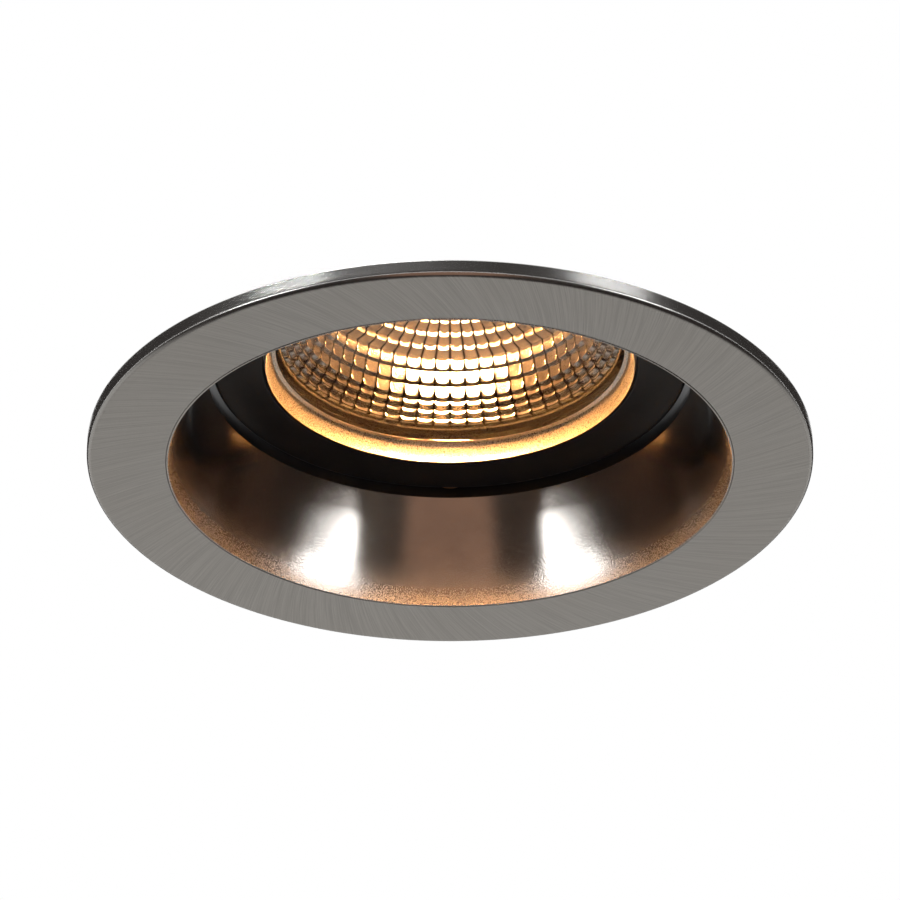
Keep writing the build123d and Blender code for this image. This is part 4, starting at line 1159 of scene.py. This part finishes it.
class SPOTLIGHT_OT_stage(bpy.types.Operator):
    """Sets the camera, the pale floor, the ceiling, the flag and bowl that the metal reflects, and the lights"""

    bl_idname = "spotlight.stage"
    bl_label = "Stage"

    def execute(self, context):
        stage = context.scene.spot_stage
        context.scene.view_settings.view_transform = "Standard"
        self.camera(context, stage)
        self.world(context)
        self.floor(stage)
        self.ceiling()
        self.flags()
        self.lights(stage)
        return {"FINISHED"}

    def camera(self, context, stage):
        lens = bpy.data.cameras.new("photo_camera")
        lens.lens, lens.sensor_width = stage.lens, 36.0
        lens.clip_start, lens.clip_end = 0.01, 20.0
        camera = bpy.data.objects.new("photo_camera", lens)
        context.scene.collection.objects.link(camera)
        away = stage.distance
        camera.location = (0.0, -away * cos(stage.elevation), stage.target_height + away * sin(stage.elevation))
        camera.rotation_euler = (pi / 2 - stage.elevation, 0.0, 0.0)
        context.scene.camera = camera

    def world(self, context):
        """White where it is seen or mirrored, dark seen up through the hole, and a plain grey light elsewhere."""
        world = bpy.data.worlds.new("studio")
        context.scene.world = world
        world.use_nodes = True
        n = Nodes(world.node_tree)
        camera = n.ray("Is Camera Ray")
        seen = camera.most(n.ray("Is Glossy Ray")).most(n.ray("Is Transmission Ray"))
        rise = n.split(n.node("ShaderNodeTexCoord").outputs["Generated"])[2]
        # Painted shade: camera rays that look up past the ceiling see a near-black world, standing in for the unlit
        # void above it
        void = camera * n.band(rise, 0.2, 0.3, 0.0, 0.97)
        strength = (0.8 + seen * 0.2) * (1 - void)
        light = n.node("ShaderNodeBackground", None, {"Color": WHITE, "Strength": strength})
        n.node("ShaderNodeOutputWorld", None, {"Surface": light.outputs[0]})

    def disc(self, name, inner, outer, height, rings=40):
        """A flat ring of a stage sheet, whose rings grow by a constant factor from its hole."""
        radius = np.geomspace(inner, outer, rings)
        grid = turned(np.stack([radius, 0 * radius + height], -1), 160)
        faces_up = grid_faces(rings, grid.shape[1], False)[:, ::-1]
        mesh = bpy.data.meshes.new(name)
        mesh.from_pydata(grid.reshape(-1, 3) * MM, [], faces_up)
        sheet = bpy.data.objects.new(name, mesh)
        bpy.context.scene.collection.objects.link(sheet)
        return sheet

    def hide(self, sheet, *rays):
        """Keeps a stage sheet out of the way of rays of those kinds."""
        for ray in rays:
            setattr(sheet, f"visible_{ray}", False)

    def one_sided(self, sheet, f, shader, top, gone=0.0):
        """Shows a sheet's upper or lower side, and lets light through from the other and where it is gone."""
        back = f.value(f.node("ShaderNodeNewGeometry").outputs["Backfacing"])
        hidden = (back if top else 1 - back).most(gone)
        sheet.data.materials.append(f.show(f.mixed(hidden, shader, f.clear())))

    def floor(self, stage):
        """A pale floor that the flange stands on, with a hole under the flange that leaves the front open."""
        edge, face, _ = round_box("trim_ring")
        sheet = self.disc("pale_floor", edge - 0.6, SHEET_REACH, face - 0.35)
        self.hide(sheet, "shadow")
        f = Finish("pale floor")
        *_, radius = f.round_place()
        matte = f.surface(Base_Color=tuple(stage.floor_colour), Roughness=0.8, Specular_IOR_Level=0.2)
        pale = f.mixed(f.band(radius, 220.0, 900.0), matte, f.glow(WHITE))
        opening = f.ray("Is Glossy Ray") * f.band(radius, edge + 3.0, edge + 7.0, 1.0, 0.0)
        self.one_sided(sheet, f, pale, True, opening)

    def ceiling(self):
        """A white ceiling sheet round the spigot, seen from below only and lit by nothing."""
        spigot = bpy.context.scene.spot_trim.bore_radius / MM + 3.7
        sheet = self.disc("white_ceiling", spigot, SHEET_REACH, 0.25)
        f = Finish("white ceiling")
        self.one_sided(sheet, f, f.glow(WHITE), False)
        self.hide(sheet, "diffuse", "glossy", "transmission", "volume_scatter", "shadow")

    def flags(self):
        """A dark flag below the ceiling and a dim half ball below the spotlight, which only the metal reflects."""
        edge = bpy.context.scene.spot_trim.flange_radius / MM
        flag = self.disc("ceiling_flag", edge + 0.2, 700.0, 0.12)
        self.hide(flag, "diffuse", "camera", "volume_scatter", "shadow")
        f = Finish("ceiling flag")
        self.one_sided(flag, f, f.glow((0.03, 0.026, 0.024)), False)
        reach = 900.0
        polar = np.linspace(radians(90.0), radians(179.5), 40)
        outline = reach * np.stack([np.sin(polar), np.cos(polar)], -1)
        tent = piece_of("dim_bowl", (turned(outline, 96), False, None))
        self.hide(tent, "camera", "volume_scatter", "shadow")
        f = Finish("dim bowl")
        x, y, z, level = f.round_place()
        aside = (x * x) ** 0.5 / level
        once = f.band(f.ray("Ray Depth"), 1.2, 1.8, 1.0, 0.08)
        near = f.band(aside, 0.26, 0.4, 1.0, 0.0) * f.band(y, -50.0, -250.0) * once
        tone = f.tint(near, (0.016, 0.011, 0.009), (0.27, 0.15, 0.1))
        steep = f.band(z, -760.0, -560.0)
        far = f.band(y - 0.2 * x, 120.0, 640.0) * (0.12 + steep * 0.88)
        tone = f.tint(far, tone, (0.43, 0.418, 0.4))
        tent.data.materials.append(f.show(f.glow(tone)))

    def lights(self, stage):
        """Pairs of softboxes beside the camera, dimmer from the ceiling down, a high pair, and a light overhead."""
        # Name, turn from the camera in degrees, rise, distance, size and share of the power
        boxes = (
            ("softbox", 53, -0.088, 0.55, (0.23, 0.09), 0.64),
            ("dim_softbox", 53, -0.182, 0.55, (0.19, 0.028), 0.05),
            ("low_softbox", 53, -0.228, 0.55, (0.15, 0.04), 0.014),
            ("high_softbox", 50, 0.58, 0.9, (0.36, 0.5), 0.7),
        )
        for name, turn, rise, away, size, part in boxes:
            for side, way in (("left", -1), ("right", 1)):
                towards = np.array([way * sin(radians(turn)), -cos(radians(turn)), rise])
                lamp = self.area(f"{name}_{side}", towards * away, size, stage.softbox_power * part)
                lamp.cycles.use_multiple_importance_sampling = rise < 0
        self.area("overhead", np.array([-0.5, -0.8, 1.2]), (0.8, 0.8), stage.key_power)

    def area(self, name, place, size, power):
        lamp = bpy.data.lights.new(name, "AREA")
        lamp.shape, lamp.size, lamp.size_y, lamp.energy = "RECTANGLE", size[0], size[1], power
        light = bpy.data.objects.new(name, lamp)
        bpy.context.scene.collection.objects.link(light)
        light.location = place
        across, level = np.linalg.norm(place[:2]), place[2]
        light.rotation_euler = (np.arctan2(across, level), 0.0, np.arctan2(-place[0], place[1]) + pi)
        light.visible_camera = False
        return lamp


OPERATORS = (
    SPOTLIGHT_OT_trim_ring, SPOTLIGHT_OT_ceiling_gasket, SPOTLIGHT_OT_reflector_cone, SPOTLIGHT_OT_gimbal_ring,
    SPOTLIGHT_OT_lamp_front, SPOTLIGHT_OT_lamp_reflector, SPOTLIGHT_OT_led, SPOTLIGHT_OT_carrier,
    SPOTLIGHT_OT_clips, SPOTLIGHT_OT_clip_pads, SPOTLIGHT_OT_clip_springs, SPOTLIGHT_OT_heat_sink,
    SPOTLIGHT_OT_wiring, SPOTLIGHT_OT_stage,
)


class SPOTLIGHT_PT_pieces(bpy.types.Panel):
    """Lists the pieces of the spotlight"""

    bl_idname = "SPOTLIGHT_PT_pieces"
    bl_label = "Recessed Spotlight"
    bl_space_type = "VIEW_3D"
    bl_region_type = "UI"
    bl_category = "Spotlight"

    def draw(self, context):
        for operator in OPERATORS:
            self.layout.operator(operator.bl_idname)
        for settings in (context.scene.spot_trim, context.scene.spot_lamp, context.scene.spot_stage):
            box = self.layout.box()
            for name in settings.__annotations__:
                box.prop(settings, name)


CLASSES = (TrimSettings, LampSettings, StageSettings, *OPERATORS, SPOTLIGHT_PT_pieces)


def register():
    for each in CLASSES:
        bpy.utils.register_class(each)
    bpy.types.Scene.spot_trim = PointerProperty(type=TrimSettings)
    bpy.types.Scene.spot_lamp = PointerProperty(type=LampSettings)
    bpy.types.Scene.spot_stage = PointerProperty(type=StageSettings)


def unregister():
    del bpy.types.Scene.spot_stage, bpy.types.Scene.spot_lamp, bpy.types.Scene.spot_trim
    for each in reversed(CLASSES):
        bpy.utils.unregister_class(each)


def main():
    register()
    for operator in OPERATORS:
        group, name = operator.bl_idname.split(".")
        getattr(getattr(bpy.ops, group), name)()


if __name__ == "__main__":
    main()
